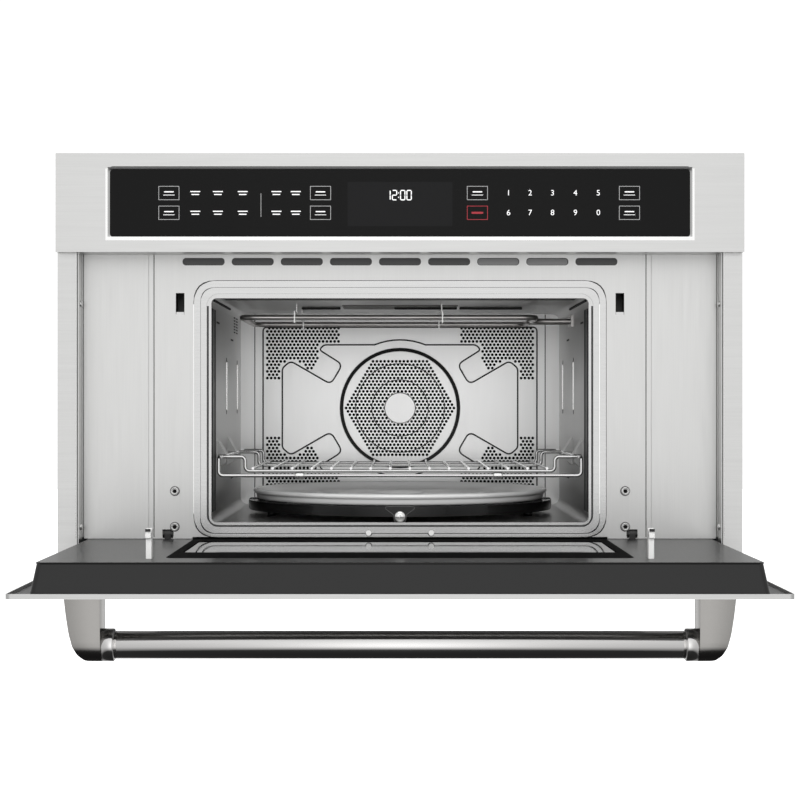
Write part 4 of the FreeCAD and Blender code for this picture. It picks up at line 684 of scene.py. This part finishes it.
CREASE_R = 0.0011
FINE_R = 0.0006
border = box_outline(-0.1823, 0.1823, 0.090, 0.3126, 0.006)
wall_lines = [wire(upright(cross_outline(), CROSS_Y), CREASE_R, segments=1),
              wire(upright(border, WALL_Y), CREASE_R, segments=1)]
for x in (-0.1933, 0.1933):
    border_fold = upright([(x, 0.0775), (x, 0.3295)], WALL_Y)
    wall_lines.append(wire(border_fold, FINE_R, closed=False, segments=1))
for radius in (0.0375, 0.059):
    wall_lines.append(wire(upright(fan_ring(radius), CROSS_Y), FINE_R, segments=1))
ride_with("back_wall_creases", crease, "cavity_steel", *wall_lines)
gutter = facing(WALL_Y - 0.0008, [fan_ring(DISH_OUT), fan_ring(DISH_IN)], 0.0002)
ride_with("dish_gutter", crease, "cavity_steel", gutter)


def perforation_tree():
    """Round holes on a staggered lattice, kept where a ray meets the input field."""
    given = new_tree("staggered_perforation", {
        "Pitch": "Float", "Hole radius": "Float", "Width": "Float", "Height": "Float",
        "Finish": "Material"})
    pitch = given["Pitch"]
    stand = (math.pi / 2, 0, 0)

    def whole(size, step):
        return size.maths("ROUND", size.maths("DIVIDE", size, step))

    row_step = pitch * math.sqrt(0.75)
    columns = whole(given["Width"], pitch)
    rows = whole(given["Height"], row_step)
    grid = pitch.node("GeometryNodeMeshGrid", {}, {
        "Vertices X": columns + 1.0, "Vertices Y": rows + 1.0,
        "Size X": columns * pitch, "Size Y": rows * row_step})
    place = pitch.node("GeometryNodeInputPosition", {}, {})
    row = whole(pitch.node("SeparateXYZ", {}, {0: place}, out="Y"), row_step)
    odd = row.maths("FLOORED_MODULO", row, 2.0)
    shift = pitch.node("CombineXYZ", {}, {"X": odd * (pitch * 0.5)})
    staggered = pitch.node("GeometryNodeSetPosition", {}, {"Geometry": grid, "Offset": shift})
    standing = pitch.node("GeometryNodeTransform", {}, {
        "Geometry": staggered, "Rotation": stand, "Translation": (0, WALL_Y - 0.02, FAN_Z)})
    ray = {"Target Geometry": given["Geometry"], "Ray Direction": (0, 1, 0), "Ray Length": 0.05}
    hit = pitch.node("GeometryNodeRaycast", {}, ray, out="Is Hit")
    hit_place = Value(hit.tree, hit.socket.node.outputs["Hit Position"])
    missed = pitch.node("FunctionNodeBooleanMath", {"operation": "NOT"}, {0: hit})
    kept = pitch.node("GeometryNodeDeleteGeometry", {"domain": "POINT"},
                      {"Geometry": standing, "Selection": missed})
    onto = pitch.node("GeometryNodeSetPosition", {}, {"Geometry": kept, "Position": hit_place})
    hole = pitch.node("GeometryNodeMeshCylinder", {"fill_type": "NGON"},
                      {"Vertices": 10, "Radius": given["Hole radius"], "Depth": 0.0003})
    turned = pitch.node("GeometryNodeTransform", {}, {"Geometry": hole, "Rotation": stand})
    field = pitch.node("GeometryNodeInstanceOnPoints", {}, {"Points": onto, "Instance": turned})
    return close_tree(field, given["Finish"])


# The holes are black discs: painted shade in place of openings. The screw sockets use it too.
hole_shade = coated_finish("hole_shade", (0.006,) * 3, 0.7, depth=0.0001, gloss=0.1)
HEXAGON = [(0.0375, 0.0632), (0.0738, 0.0), (0.0375, -0.0632),
           (-0.0375, -0.0632), (-0.0738, 0.0), (-0.0375, 0.0632)]
CORNER_FIELD = [(0.0795, 0.1065), (0.1790, 0.1065), (0.1790, 0.0365), (0.1605, 0.0365),
                (0.1605, 0.0600), (0.1520, 0.0600), (0.1470, 0.0650), (0.1390, 0.0640),
                (0.1198, 0.0500), (0.1085, 0.0660), (0.1085, 0.0862), (0.0795, 0.0862)]
fields = [facing(CROSS_Y - 0.0001, [at_fan(HEXAGON), fan_ring(CAP_R)], 0.0)]
for sx, sz in ((1, 1), (1, -1), (-1, 1), (-1, -1)):
    corner_outline = at_fan([(sx * x, sz * z) for x, z in CORNER_FIELD])
    fields.append(facing(WALL_Y - 0.0001, [corner_outline], 0.0))
holes = run_tree(perforation_tree(), joined(fields), {
    "Pitch": 0.00512, "Hole radius": 0.00195, "Width": 0.38, "Height": 0.22, "Finish": hole_shade})
ride_with("back_wall_holes", hole_shade, "cavity_steel", holes)

# Heating elements
# Sheathed steel tubes, tempered by heat: the broil loop hangs in clips under the cavity's roof,
# and a ring lies round the convection fan.
element, element_shader, along_tube = plain_finish("heated_tube", (0.30, 0.29, 0.28), 0.35, 1.0)
temper = noise(along_tube, 22.0, 3.0)
tint(along_tube, element_shader, (0.84, 0.83, 0.82), temper, (0.50, 0.47, 0.45))
along_tube.fill(element_shader.inputs["Roughness"], 0.22 + 0.25 * temper)
dress(element, "broil_element", "convection_heater")

# Rack
# Chromed wire, bent to an outer bar and welded where the wires cross; two bright sleeves pressed
# on the front bar locate it.
chrome_wire = bright_finish("chromed_wire", (0.74, 0.74, 0.735), 0.05)
dress(chrome_wire, "wire_rack")


def lathe(profile, centre, axis, steps):
    """A closed turned shape from (radius, distance) pairs along an axis."""
    axis = Vector(axis)
    across = axis.orthogonal().normalized()
    other = axis.cross(across)
    verts, faces = [], []
    for radius, distance in profile:
        for k in range(steps):
            turn = 2 * math.pi * k / steps
            spoke = across * math.cos(turn) + other * math.sin(turn)
            verts.append(Vector(centre) + axis * distance + spoke * radius)
    last = (len(profile) - 1) * steps
    for first in range(0, last, steps):
        for k in range(steps):
            a = first + k
            b = first + (k + 1) % steps
            faces.append((a, b, b + steps, a + steps))
    faces += [tuple(reversed(range(steps))), tuple(range(last, last + steps))]
    mesh = bpy.data.meshes.new("turned")
    mesh.from_pydata(verts, [], faces)
    mesh.polygons.foreach_set("use_smooth", [len(f) == 4 for f in faces])
    return outward(mesh)


SLEEVE = ((0.0021, -0.0055), (0.0035, -0.0050), (0.0038, -0.0038),
          (0.0038, 0.0038), (0.0035, 0.0050), (0.0021, 0.0055))
sleeves = [lathe(SLEEVE, (x, at_depth(52), 0.130), (1, 0, 0), 20) for x in (-0.113, 0.110)]
ride_with("rack_sleeves", bright_steel_and_highlight, "polished_steel", *sleeves, body="rack")

# Turntable
# A grey glazed dish with a rolled lip on a gloss black moulded ring, whose bosses carry the three
# chrome-faced rollers; the motor under the floor turns it.
TABLE = (0, at_depth(236), 0)
tray_glaze = coated_finish("tray_glaze", (0.93, 0.93, 0.925), 0.20, 0.15, 0.4, 40.0, 0.00002)
TRAY = ((0.001, 0.0950), (0.1640, 0.0950), (0.1702, 0.0953), (0.1732, 0.0961), (0.1746, 0.0975),
        (0.1752, 0.0995), (0.1756, 0.1014), (0.1760, 0.1023), (0.1772, 0.1030), (0.1784, 0.1040),
        (0.1790, 0.1054), (0.1789, 0.1068), (0.1780, 0.1080), (0.1764, 0.1085), (0.1747, 0.1081),
        (0.1734, 0.1070), (0.1708, 0.1036), (0.1660, 0.1005), (0.1600, 0.0988), (0.001, 0.0985))
tray_mesh = lathe(TRAY, TABLE, (0, 0, 1), 160)
tray = ride_with("tray_dish", tray_glaze, "tray_enamel", tray_mesh, body="turntable")
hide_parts("turntable_tray")
gloss_black = coated_finish("ring_gloss_black", (0.005,) * 3, 0.16, peel=120.0, depth=0.0001,
                            gloss=0.35)
dress(gloss_black, "turntable_support")


def at_roller(mesh, i):
    """Moves a mesh made for the front roller, about the table's axis, to one of the three."""
    mesh.transform(Matrix.Translation(TABLE) @ Matrix.Rotation(math.radians(120 * i), 4, "Z"))
    return mesh


BOSS_OUT = -0.1835
BOSS_EDGE = -0.1851
boss_outline = rounded([(-0.020, 0.0952), (-0.0075, 0.0862), (-0.0062, 0.0780),
                        (0.0062, 0.0780), (0.0075, 0.0862), (0.020, 0.0952)], 0.003)
FOOT = ((0.0045, 0.0776), (0.0052, 0.0784), (0.0052, 0.0815), (0.0040, 0.0840))
# Grey wires round the black bosses' V edges are painted highlights.
bosses, boss_edges = [], []
for i in range(3):
    bosses.append(at_roller(facing(BOSS_OUT, [boss_outline], 0.0012, 0.0003), i))
    boss_edges.append(at_roller(wire(upright(boss_outline, BOSS_EDGE), 0.0004, segments=1), i))
for side in (-1, 1):
    block_place = (side * 0.1765, TABLE[1], 0.0890)
    bosses.append(plate("front", block_place, [centred(0.014, 0.012, 0.002)], 0.0058, 0.0012))
    bosses.append(lathe(FOOT, (side * 0.1526, TABLE[1] - 0.062, 0), (0, 0, 1), 16))
ride_with("roller_bosses", gloss_black, "support_black", *bosses, body="turntable")
ride_with("boss_edges", grey_shade_and_highlight, "support_black", *boss_edges, body="turntable")
roller_chrome = bright_finish("roller_chrome", (0.92, 0.92, 0.91), 0.04)
WHEEL_Z = 0.0840
WHEEL = ((0.0030, 0.1843), (0.0067, 0.1846), (0.0067, 0.1862), (0.0062, 0.1874),
         (0.0050, 0.1884), (0.0032, 0.1890), (0.0012, 0.1893))
for i in (1, 2, 3):
    turn = math.radians(120 * i - 210)
    axle = (math.cos(turn), math.sin(turn), 0)
    dome = lathe(WHEEL, (TABLE[0], TABLE[1], WHEEL_Z), axle, 40)
    wheel = ride_with("roller_dome_%d" % i, roller_chrome, "polished_steel", dome,
                      body="wheel_%d" % i)
    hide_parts("roller_wheel_%d" % i)

# Fascia glass
# A black touch glass behind the fascia's bevelled window. Bright steel on its lower and side
# bevels is a painted highlight, and a grey strip along its top is painted shade.
# A faintly lighter pane lies over the display; outlines, bars and digits are printed for the keys,
# with a painted glow from emission.
control_black = coated_finish("control_glass_black", (0.004,) * 3, 0.12, peel=60.0, depth=0.00002,
                              gloss=0.12)
dress(control_black, "control_glass")
pane_dark = coated_finish("display_pane", (0.0085, 0.0085, 0.009), 0.2, peel=200.0, depth=0.00002,
                          gloss=0.12)
dress(pane_dark, "display_module")
GLASS_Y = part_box("control_glass")[0].y
pane = facing(GLASS_Y, [box_outline(-0.0576, 0.0576, 0.4059, 0.4545, 0.001)], 0.00005)
ride_with("display_area", pane_dark, "display_panel", pane)

WINDOW_X = 0.3208
WINDOW_LOW = 0.3942
WINDOW_TOP = 0.4690
BEVEL_SIDE = 0.0024
BEVEL_LOW = 0.0040
BEVEL_Y = FACE_Y - 0.0001
BEVEL_T = 0.0001


def three_sides(x, low):
    return [(-x, WINDOW_TOP), (-x, low), (x, low), (x, WINDOW_TOP)]


# The bright strip on the bevels is a painted highlight; the grey strip above the window is painted
# shade.
bevel_outline = three_sides(WINDOW_X + BEVEL_SIDE, WINDOW_LOW - BEVEL_LOW)
bevel_outline += reversed(three_sides(WINDOW_X, WINDOW_LOW))
bevel_edge = facing(BEVEL_Y, [bevel_outline], BEVEL_T)
ride_with("window_bright_edge", bright_steel_and_highlight, "brushed_stainless", bevel_edge)
shade_outline = box_outline(-WINDOW_X, WINDOW_X, WINDOW_TOP, WINDOW_TOP + 0.0016, 0.0006)
top_shade = facing(BEVEL_Y, [shade_outline], BEVEL_T)
ride_with("window_top_shade", grey_shade_and_highlight, "brushed_stainless", top_shade)

PRINT_T = 0.00003
PRINT_Y = GLASS_Y - 0.00012
HIGH_ROW = 0.4423
LOW_ROW = 0.4206
DIGIT_SIZE = 0.00868


def printed_finish(name, colour, painted_glow):
    """Slightly mottled print, with a painted glow from emission."""
    material, shader, here = plain_finish(name, colour, 0.5)
    shade = tuple(0.7 * c for c in colour)
    tint(here, shader, colour, 0.3 * noise(here, 900.0, 1.0), shade)
    shader.inputs["Emission Color"].default_value = (*colour, 1)
    shader.inputs["Emission Strength"].default_value = painted_glow
    return material


def bar(x, z, width, height):
    outline = centred(width, height, min(width, height) * 0.4, x, z)
    return facing(PRINT_Y, [outline], PRINT_T)


def key_box(x, z):
    outlines = [centred(0.0229, 0.0154, 0.0004, x, z), centred(0.0216, 0.0141, 0.0003, x, z)]
    return facing(PRINT_Y, outlines, PRINT_T)


def digit(character, x, z):
    text = bpy.data.curves.new("digit", "FONT")
    text.body = character
    text.align_x = text.align_y = "CENTER"
    text.size = DIGIT_SIZE
    text.extrude = PRINT_T
    return set_at(outward(mesh_of(text)), "front", (x, PRINT_Y, z))


print_grey = printed_finish("print_grey", (0.36,) * 3, 0.18)
print_pale = printed_finish("print_pale", (0.80,) * 3, 0.55)
print_red = printed_finish("print_red", (0.30, 0.02, 0.03), 0.35)
STOP_KEY = (0.085, LOW_ROW)
boxed_keys = [(x, z) for x in (-0.2538, -0.0873, 0.085, 0.252) for z in (HIGH_ROW, LOW_ROW)]
boxed_keys.remove(STOP_KEY)
key_boxes = [key_box(*key) for key in boxed_keys]
divider = bar(-0.1527, 0.429, 0.0006, 0.026)
ride_with("key_outlines", print_grey, "control_black_glass", *key_boxes, divider)
ride_with("stop_key_outline", print_red, "control_black_glass",
          key_box(*STOP_KEY), bar(*STOP_KEY, 0.013, 0.0022))
marks = []
for x in (-0.2248, -0.200, -0.1727, -0.1357, -0.1144):
    for z in (HIGH_ROW, LOW_ROW):
        marks += [bar(x, z + 0.0016, 0.0110, 0.0011), bar(x, z - 0.0016, 0.0085, 0.0011)]
for x, z in boxed_keys:
    marks += [bar(x, z + 0.0013, 0.0105, 0.0012), bar(x, z - 0.0022, 0.0125, 0.0006)]
for x, upper, lower in zip((0.1192, 0.1429, 0.1675, 0.1926, 0.2178), "12345", "67890"):
    marks += [digit(upper, x, HIGH_ROW), digit(lower, x, LOW_ROW)]
CLOCK_Z = 0.440
SEG_W = 0.0048
SEG_H = 0.0052
SEG_T = 0.0011
SEG_GAP = 0.0006
SEGMENTS = {"0": "abcdef", "1": "bc", "2": "abged"}
LEVEL_BARS = {"a": SEG_H, "g": 0, "d": -SEG_H}
UPRIGHT_BARS = {"b": (1, 1), "c": (1, -1), "f": (-1, 1), "e": (-1, -1)}
for character, x in zip("1200", (-0.0132, -0.0060, 0.0030, 0.0100)):
    for key in SEGMENTS[character]:
        if key in LEVEL_BARS:
            marks.append(bar(x, CLOCK_Z + LEVEL_BARS[key], SEG_W - SEG_GAP, SEG_T))
        else:
            sx, sz = UPRIGHT_BARS[key]
            marks.append(bar(x + sx * SEG_W / 2, CLOCK_Z + sz * SEG_H / 2, SEG_T, SEG_H - SEG_GAP))
marks += [bar(-0.0016, CLOCK_Z + dz, 0.0012, 0.0012) for dz in (-0.0024, 0.0024)]
ride_with("key_marks", print_pale, "control_black_glass", *marks)

# Door
# A charcoal enamelled liner carrying the tinted inner glass in a black gasket, the screen and
# the latch hooks, closed on the outside by the brushed skin with its dark window.
liner_enamel = coated_finish("liner_charcoal", (0.014,) * 3, 0.36, coat=0.1, peel=500.0, gloss=0.3)
dress(liner_enamel, "door_liner")
tinted = coated_finish("tinted_glass", (0.008, 0.008, 0.009), 0.05, peel=40.0, depth=0.00001,
                       gloss=0.2)
dress(tinted, "door_inner_glass", "door_outer_glass")
dress(coated_finish("screen_black", (0.015,) * 3, 0.5), "door_screen")
hook_white = coated_finish("hook_white", (0.80, 0.80, 0.79), 0.35, coat=0.1)
dress(hook_white, "left_latch_hook", "right_latch_hook")
for hand in ("left", "right"):
    hook_low, hook_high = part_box(hand + "_latch_hook")
    hook_x = (hook_low.x + hook_high.x) / 2
    tip_outline = centred(0.0054, 0.0028, 0.0006, hook_x, hook_high.z - 0.0016)
    tip = facing(hook_low.y - 0.0001, [tip_outline], 0.0002)
    ride_with(hand + "_latch_hook_tip", crease, "hook_white", tip, body=hand + "_hook")
glass_low, glass_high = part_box("door_inner_glass")
gasket_rubber = coated_finish("gasket_rubber", (0.006,) * 3, 0.8, peel=400.0, gloss=0.02)
GASKET_SIDE = 0.009
GASKET_FRONT = 0.064
GASKET_BACK = 0.050
gasket_outer = box_outline(glass_low.x, glass_high.x, glass_low.y, glass_high.y, 0.008)
gasket_inner = box_outline(glass_low.x + GASKET_SIDE, glass_high.x - GASKET_SIDE,
                           glass_low.y + GASKET_FRONT, glass_high.y - GASKET_BACK, 0.006)
gasket = plate("up", (0, 0, glass_high.z + 0.0003), [gasket_outer, gasket_inner], 0.0003, 0.0002)
ride_with("glass_gasket", gasket_rubber, "dark_enamel", gasket, body="door")

liner_low, liner_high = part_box("door_liner")
liner_top = [v.co for v in nodes["door_liner"].data.vertices if v.co.z > liner_high.z - 0.0003]
edge_x = max(p.x for p in liner_top)
edge_y = min(p.y for p in liner_top)
CHAMFER = 0.005
half_path = [(edge_x - CHAMFER, edge_y), (edge_x, edge_y + CHAMFER), (edge_x, liner_high.y)]
bead_path = [(-x, y) for x, y in reversed(half_path)] + half_path
bead_z = liner_high.z - 0.0009
edge_bead = wire([(x, y, bead_z) for x, y in bead_path], 0.0010, closed=False, segments=3)
ride_with("liner_edge_bead", gloss_black, "dark_enamel", edge_bead, body="door")
# Dark strips on the skin's inner face beside the liner are painted shade.
skin_shade = coated_finish("skin_painted_shade", (0.10,) * 3, 0.5, 0.3, gloss=0.3)
skin_low, skin_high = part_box("door_skin")
STRIP_BACK = -0.279
strips = []
for side in (-1, 1):
    x0, x1 = sorted((side * (liner_high.x + 0.0002), side * (skin_high.x - 0.0014)))
    strip_outline = box_outline(x0, x1, skin_low.y + 0.0016, STRIP_BACK, 0.0010)
    strips.append(plate("up", (0, 0, liner_low.z + 0.0003), [strip_outline], 0.0002))
ride_with("skin_painted_shade", skin_shade, "dark_enamel", *strips, body="door")

# Handle
# A polished tube between two turned ferrules, carried by cast satin brackets that are
# screwed on from behind the door's skin.
bar_steel = bright_finish("bar_polished_steel", (0.80, 0.79, 0.78), 0.07)
bar_low, bar_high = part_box("handle_bar")
bar_y = (bar_low.y + bar_high.y) / 2
bar_z = (bar_low.z + bar_high.z) / 2
BAR_END = 0.2777
half_bar = [(0.0135, 0.0), (0.0135, BAR_END - 0.0008), (0.0130, BAR_END - 0.0004),
            (0.0130, BAR_END), (0.0150, BAR_END + 0.0002), (0.0157, BAR_END + 0.0008),
            (0.0159, BAR_END + 0.0018), (0.0159, bar_high.x)]
bar_profile = [(r, -d) for r, d in reversed(half_bar)] + half_bar[1:]
bar_mesh = lathe(bar_profile, (0, bar_y, bar_z), (1, 0, 0), 64)
handle = ride_with("handle_tube", bar_steel, "polished_steel", bar_mesh, body="door")
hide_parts("handle_bar")
bracket_metal = coated_finish("bracket_satin_metal", (0.385, 0.375, 0.36), 0.20, 1.0, peel=400.0,
                              depth=0.00005)
arm_low, arm_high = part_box("handle_brackets")
ARM_IN = bar_high.x
ARM_R = (arm_high.y - arm_low.y) / 2
ARM_TOP = 0.0252
ARM_EDGE = ((ARM_TOP, 0.3254), (0.006, 0.3232), (-0.012, 0.3204), (-0.024, 0.3170),
            (-0.0326, 0.3124), (-0.0383, 0.3065), (-0.0400, 0.3020))
ARM_STEPS = 10
TIP_HALF = 0.0004


def edge_at(z):
    """Where the bracket's outer side lies at a height."""
    for (z0, x0), (z1, x1) in zip(ARM_EDGE, ARM_EDGE[1:]):
        if z >= z1:
            return x0 + (x1 - x0) * (z0 - z) / (z0 - z1)
    return ARM_EDGE[-1][1]


def bracket_arm(side):
    """A solid arm with its tip rounded about the bar's axis and its outer side along a curve."""
    rows = [(ARM_R, ARM_TOP - (ARM_TOP - bar_z) * i / ARM_STEPS) for i in range(ARM_STEPS + 1)]
    for i in range(1, ARM_STEPS + 1):
        turn = math.pi / 2 * i / ARM_STEPS
        rows.append((max(ARM_R * math.cos(turn), TIP_HALF), bar_z - ARM_R * math.sin(turn)))
    verts, faces = [], []
    for half, z in rows:
        for x in (ARM_IN, edge_at(z)):
            verts += [(side * x, bar_y - half, z), (side * x, bar_y + half, z)]
    end = len(verts) - 4
    for a in range(0, end, 4):
        for i, k in ((0, 2), (2, 3), (3, 1), (1, 0)):
            faces.append((a + i, a + k, a + 4 + k, a + 4 + i))
    faces += [(0, 1, 3, 2), (end, end + 2, end + 3, end + 1)]
    mesh = bpy.data.meshes.new("arm")
    mesh.from_pydata(verts, [], faces)
    bevel = {"width": 0.0009, "segments": 3, "angle_limit": math.radians(50)}
    mesh = modified(outward(mesh), "BEVEL", bevel, {})
    mesh.polygons.foreach_set("use_smooth", [True] * len(mesh.polygons))
    return mesh


arms = ride_with("handle_arms", bracket_metal, "bracket_metal", bracket_arm(-1), bracket_arm(1),
                 body="door")
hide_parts("handle_brackets")

# Fasteners and hinges
# Socket screws through the front plate, each in a dark ring with a black socket of painted shade,
# screws through the side trims, pan heads at the back, and hinge parts painted near black as
# shade in the hinge slots.
fastener = bright_finish("fastener_steel", (0.66, 0.66, 0.65), 0.22)
dress(fastener, "plate_screws", "rear_panel_screws", "handle_screws", "hinge_pins",
      "broil_element_clips")
# The hinge parts are near black as painted shade in the hinge slots.
dress(bright_finish("hinge_painted_shade", (0.06,) * 3, 0.4), "hinge_arms", "hinge_brackets")
PIN = ((0.0035, 0.0), (0.0034, 0.0006), (0.0027, 0.0013), (0.0014, 0.0018), (0.0003, 0.0019))
SCREW_X = 0.2517
SOCKET_R = 0.0025
HEAD_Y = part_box("plate_screws")[0].y
trim_pins, sockets, head_rings, head_rims = [], [], [], []
for side in (-1, 1):
    for z in (0.0739, 0.3217):
        pin_place = (side * trim_low.x, trim_low.y + 0.014, z)
        trim_pins.append(lathe(PIN, pin_place, (-side, 0, 0), 20))
    x = side * SCREW_X
    for z in (0.0734, 0.1133):
        six_sides = [(x + u, z + v) for u, v in arc_points(SOCKET_R, 0, 300, 5)]
        sockets.append(facing(HEAD_Y - 0.0001, [six_sides], 0.0002))
        head_rings.append(wire(upright(circle_at(x, z, 0.0049), PLATE_FACE - 0.0004), 0.0006))
        head_rims.append(wire(upright(circle_at(x, z, 0.0036), HEAD_Y), 0.0007))
ride_with("trim_screw_heads", bright_steel_and_highlight, "fastener_steel", *trim_pins)
ride_with("screw_sockets", hole_shade, "fastener_steel", *sockets)
ride_with("screw_rings", grey_shade_and_highlight, "fastener_steel", *head_rings)
ride_with("screw_rims", chrome_wire, "fastener_steel", *head_rims)

# Power parts inside the case
# Motors, magnetron, transformer, blower and boards, screwed round the cavity and hidden by the
# case: black mouldings, plated steel and green laminate.
dress(coated_finish("inner_moulding", (0.06,) * 3, 0.45, depth=0.0003), "latch_housings",
      "latch_carriers", "interlock_switches", "blower_housing", "blower_wheel", "cord_gland")
dress(coated_finish("board_laminate", (0.02, 0.11, 0.05), 0.4, coat=0.2, peel=200.0),
      "control_board", "power_board")
dress(coated_finish("motor_plate", (0.42,) * 3, 0.38, 0.9, peel=200.0), "convection_motor",
      "turntable_motor", "blower_motor", "magnetron", "hv_transformer", "hv_capacitor",
      "convection_fan")

# Studio
# A pale floor well below the hanging handle, a soft white surround that is darker underfoot and to
# the sides, an overhead softbox, a fill light into the cavity, and a camera level with the oven.
WHITE = (1, 1, 1, 1)
FLOOR_Z = -0.6
FLOOR_HALF = 15.0
floor_corners = [(x * FLOOR_HALF, y * FLOOR_HALF, FLOOR_Z)
                 for x, y in ((-1, -1), (1, -1), (1, 1), (-1, 1))]
floor_mesh = bpy.data.meshes.new("floor")
floor_mesh.from_pydata(floor_corners, [], [(0, 1, 2, 3)])
floor_pale, floor_shader, _ = plain_finish("floor_pale", (0.9,) * 3, 0.9, gloss=0.0)
floor_shader.inputs["Emission Color"].default_value = WHITE
floor_shader.inputs["Emission Strength"].default_value = 0.75
floor_mesh.materials.append(floor_pale)
floor = new_object("floor", floor_mesh)
floor.visible_glossy = floor.visible_diffuse = False

world = bpy.data.worlds.new("studio")
bpy.context.scene.world = world
world.use_nodes = True
room = world.node_tree
SURROUND = ((0.0, 0.02), (0.20, 0.035), (0.29, 0.46), (0.40, 0.80), (0.52, 0.86), (0.74, 0.98),
            (1.0, 0.74))
look = Value(room, room.nodes.new("ShaderNodeTexCoord").outputs["Generated"])
aim = look.node("SeparateXYZ", {}, {0: look}).socket.node
sideways, forward, height = [Value(room, aim.outputs[axis]) for axis in "XYZ"]
level = look.node("ValToRGB", {"stops": SURROUND}, {0: 0.5 * height + 0.5})
surround = look.node("RGBToBW", {}, {0: level}) * (1 - 0.3 * abs(sideways))
lobe = look.maths("POWER", look.maths("MAXIMUM", 0 - forward, 0.0), 12.0)
sky = room.nodes["Background"]
sky.inputs["Color"].default_value = WHITE
look.fill(sky.inputs["Strength"], surround + 0.42 * lobe)
backdrop = look.node("Background", {}, {"Color": WHITE, "Strength": 1.1})
seen = look.node("LightPath", {}, {}, out="Is Camera Ray")
choice = look.node("MixShader", {}, {0: seen, 1: Value(room, sky.outputs[0]), 2: backdrop})
look.fill(room.nodes["World Output"].inputs["Surface"], choice)


def soft_light(name, place, target, size, power):
    data = bpy.data.lights.new(name, "AREA")
    data.energy = power
    data.size = size
    light = new_object(name, data)
    light.location = place
    light.rotation_euler = (Vector(target) - Vector(place)).to_track_quat("-Z", "Y").to_euler()
    return light


soft_light("overhead_softbox", (0.0, FACE_Y - 0.9, 2.2), (0, FACE_Y, 0.2), 1.6, 6.0)
fill = soft_light("cavity_fill", (0.0, FACE_Y - 1.7, 0.80), (0, FACE_Y + 0.2, 0.1), 0.7, 15.0)
fill.visible_glossy = False

EYE_BACK = 2.014
EYE_Z = 0.2117
camera_data = bpy.data.cameras.new("camera")
camera_data.lens = 82.6
camera_data.sensor_width = 36.0
camera_data.shift_y = 0.00375
camera = new_object("camera", camera_data)
camera.location = (0, FACE_Y - EYE_BACK, EYE_Z)
camera.rotation_euler = (math.pi / 2, 0, 0)
bpy.context.scene.camera = camera
bpy.context.scene.view_settings.view_transform = "Standard"
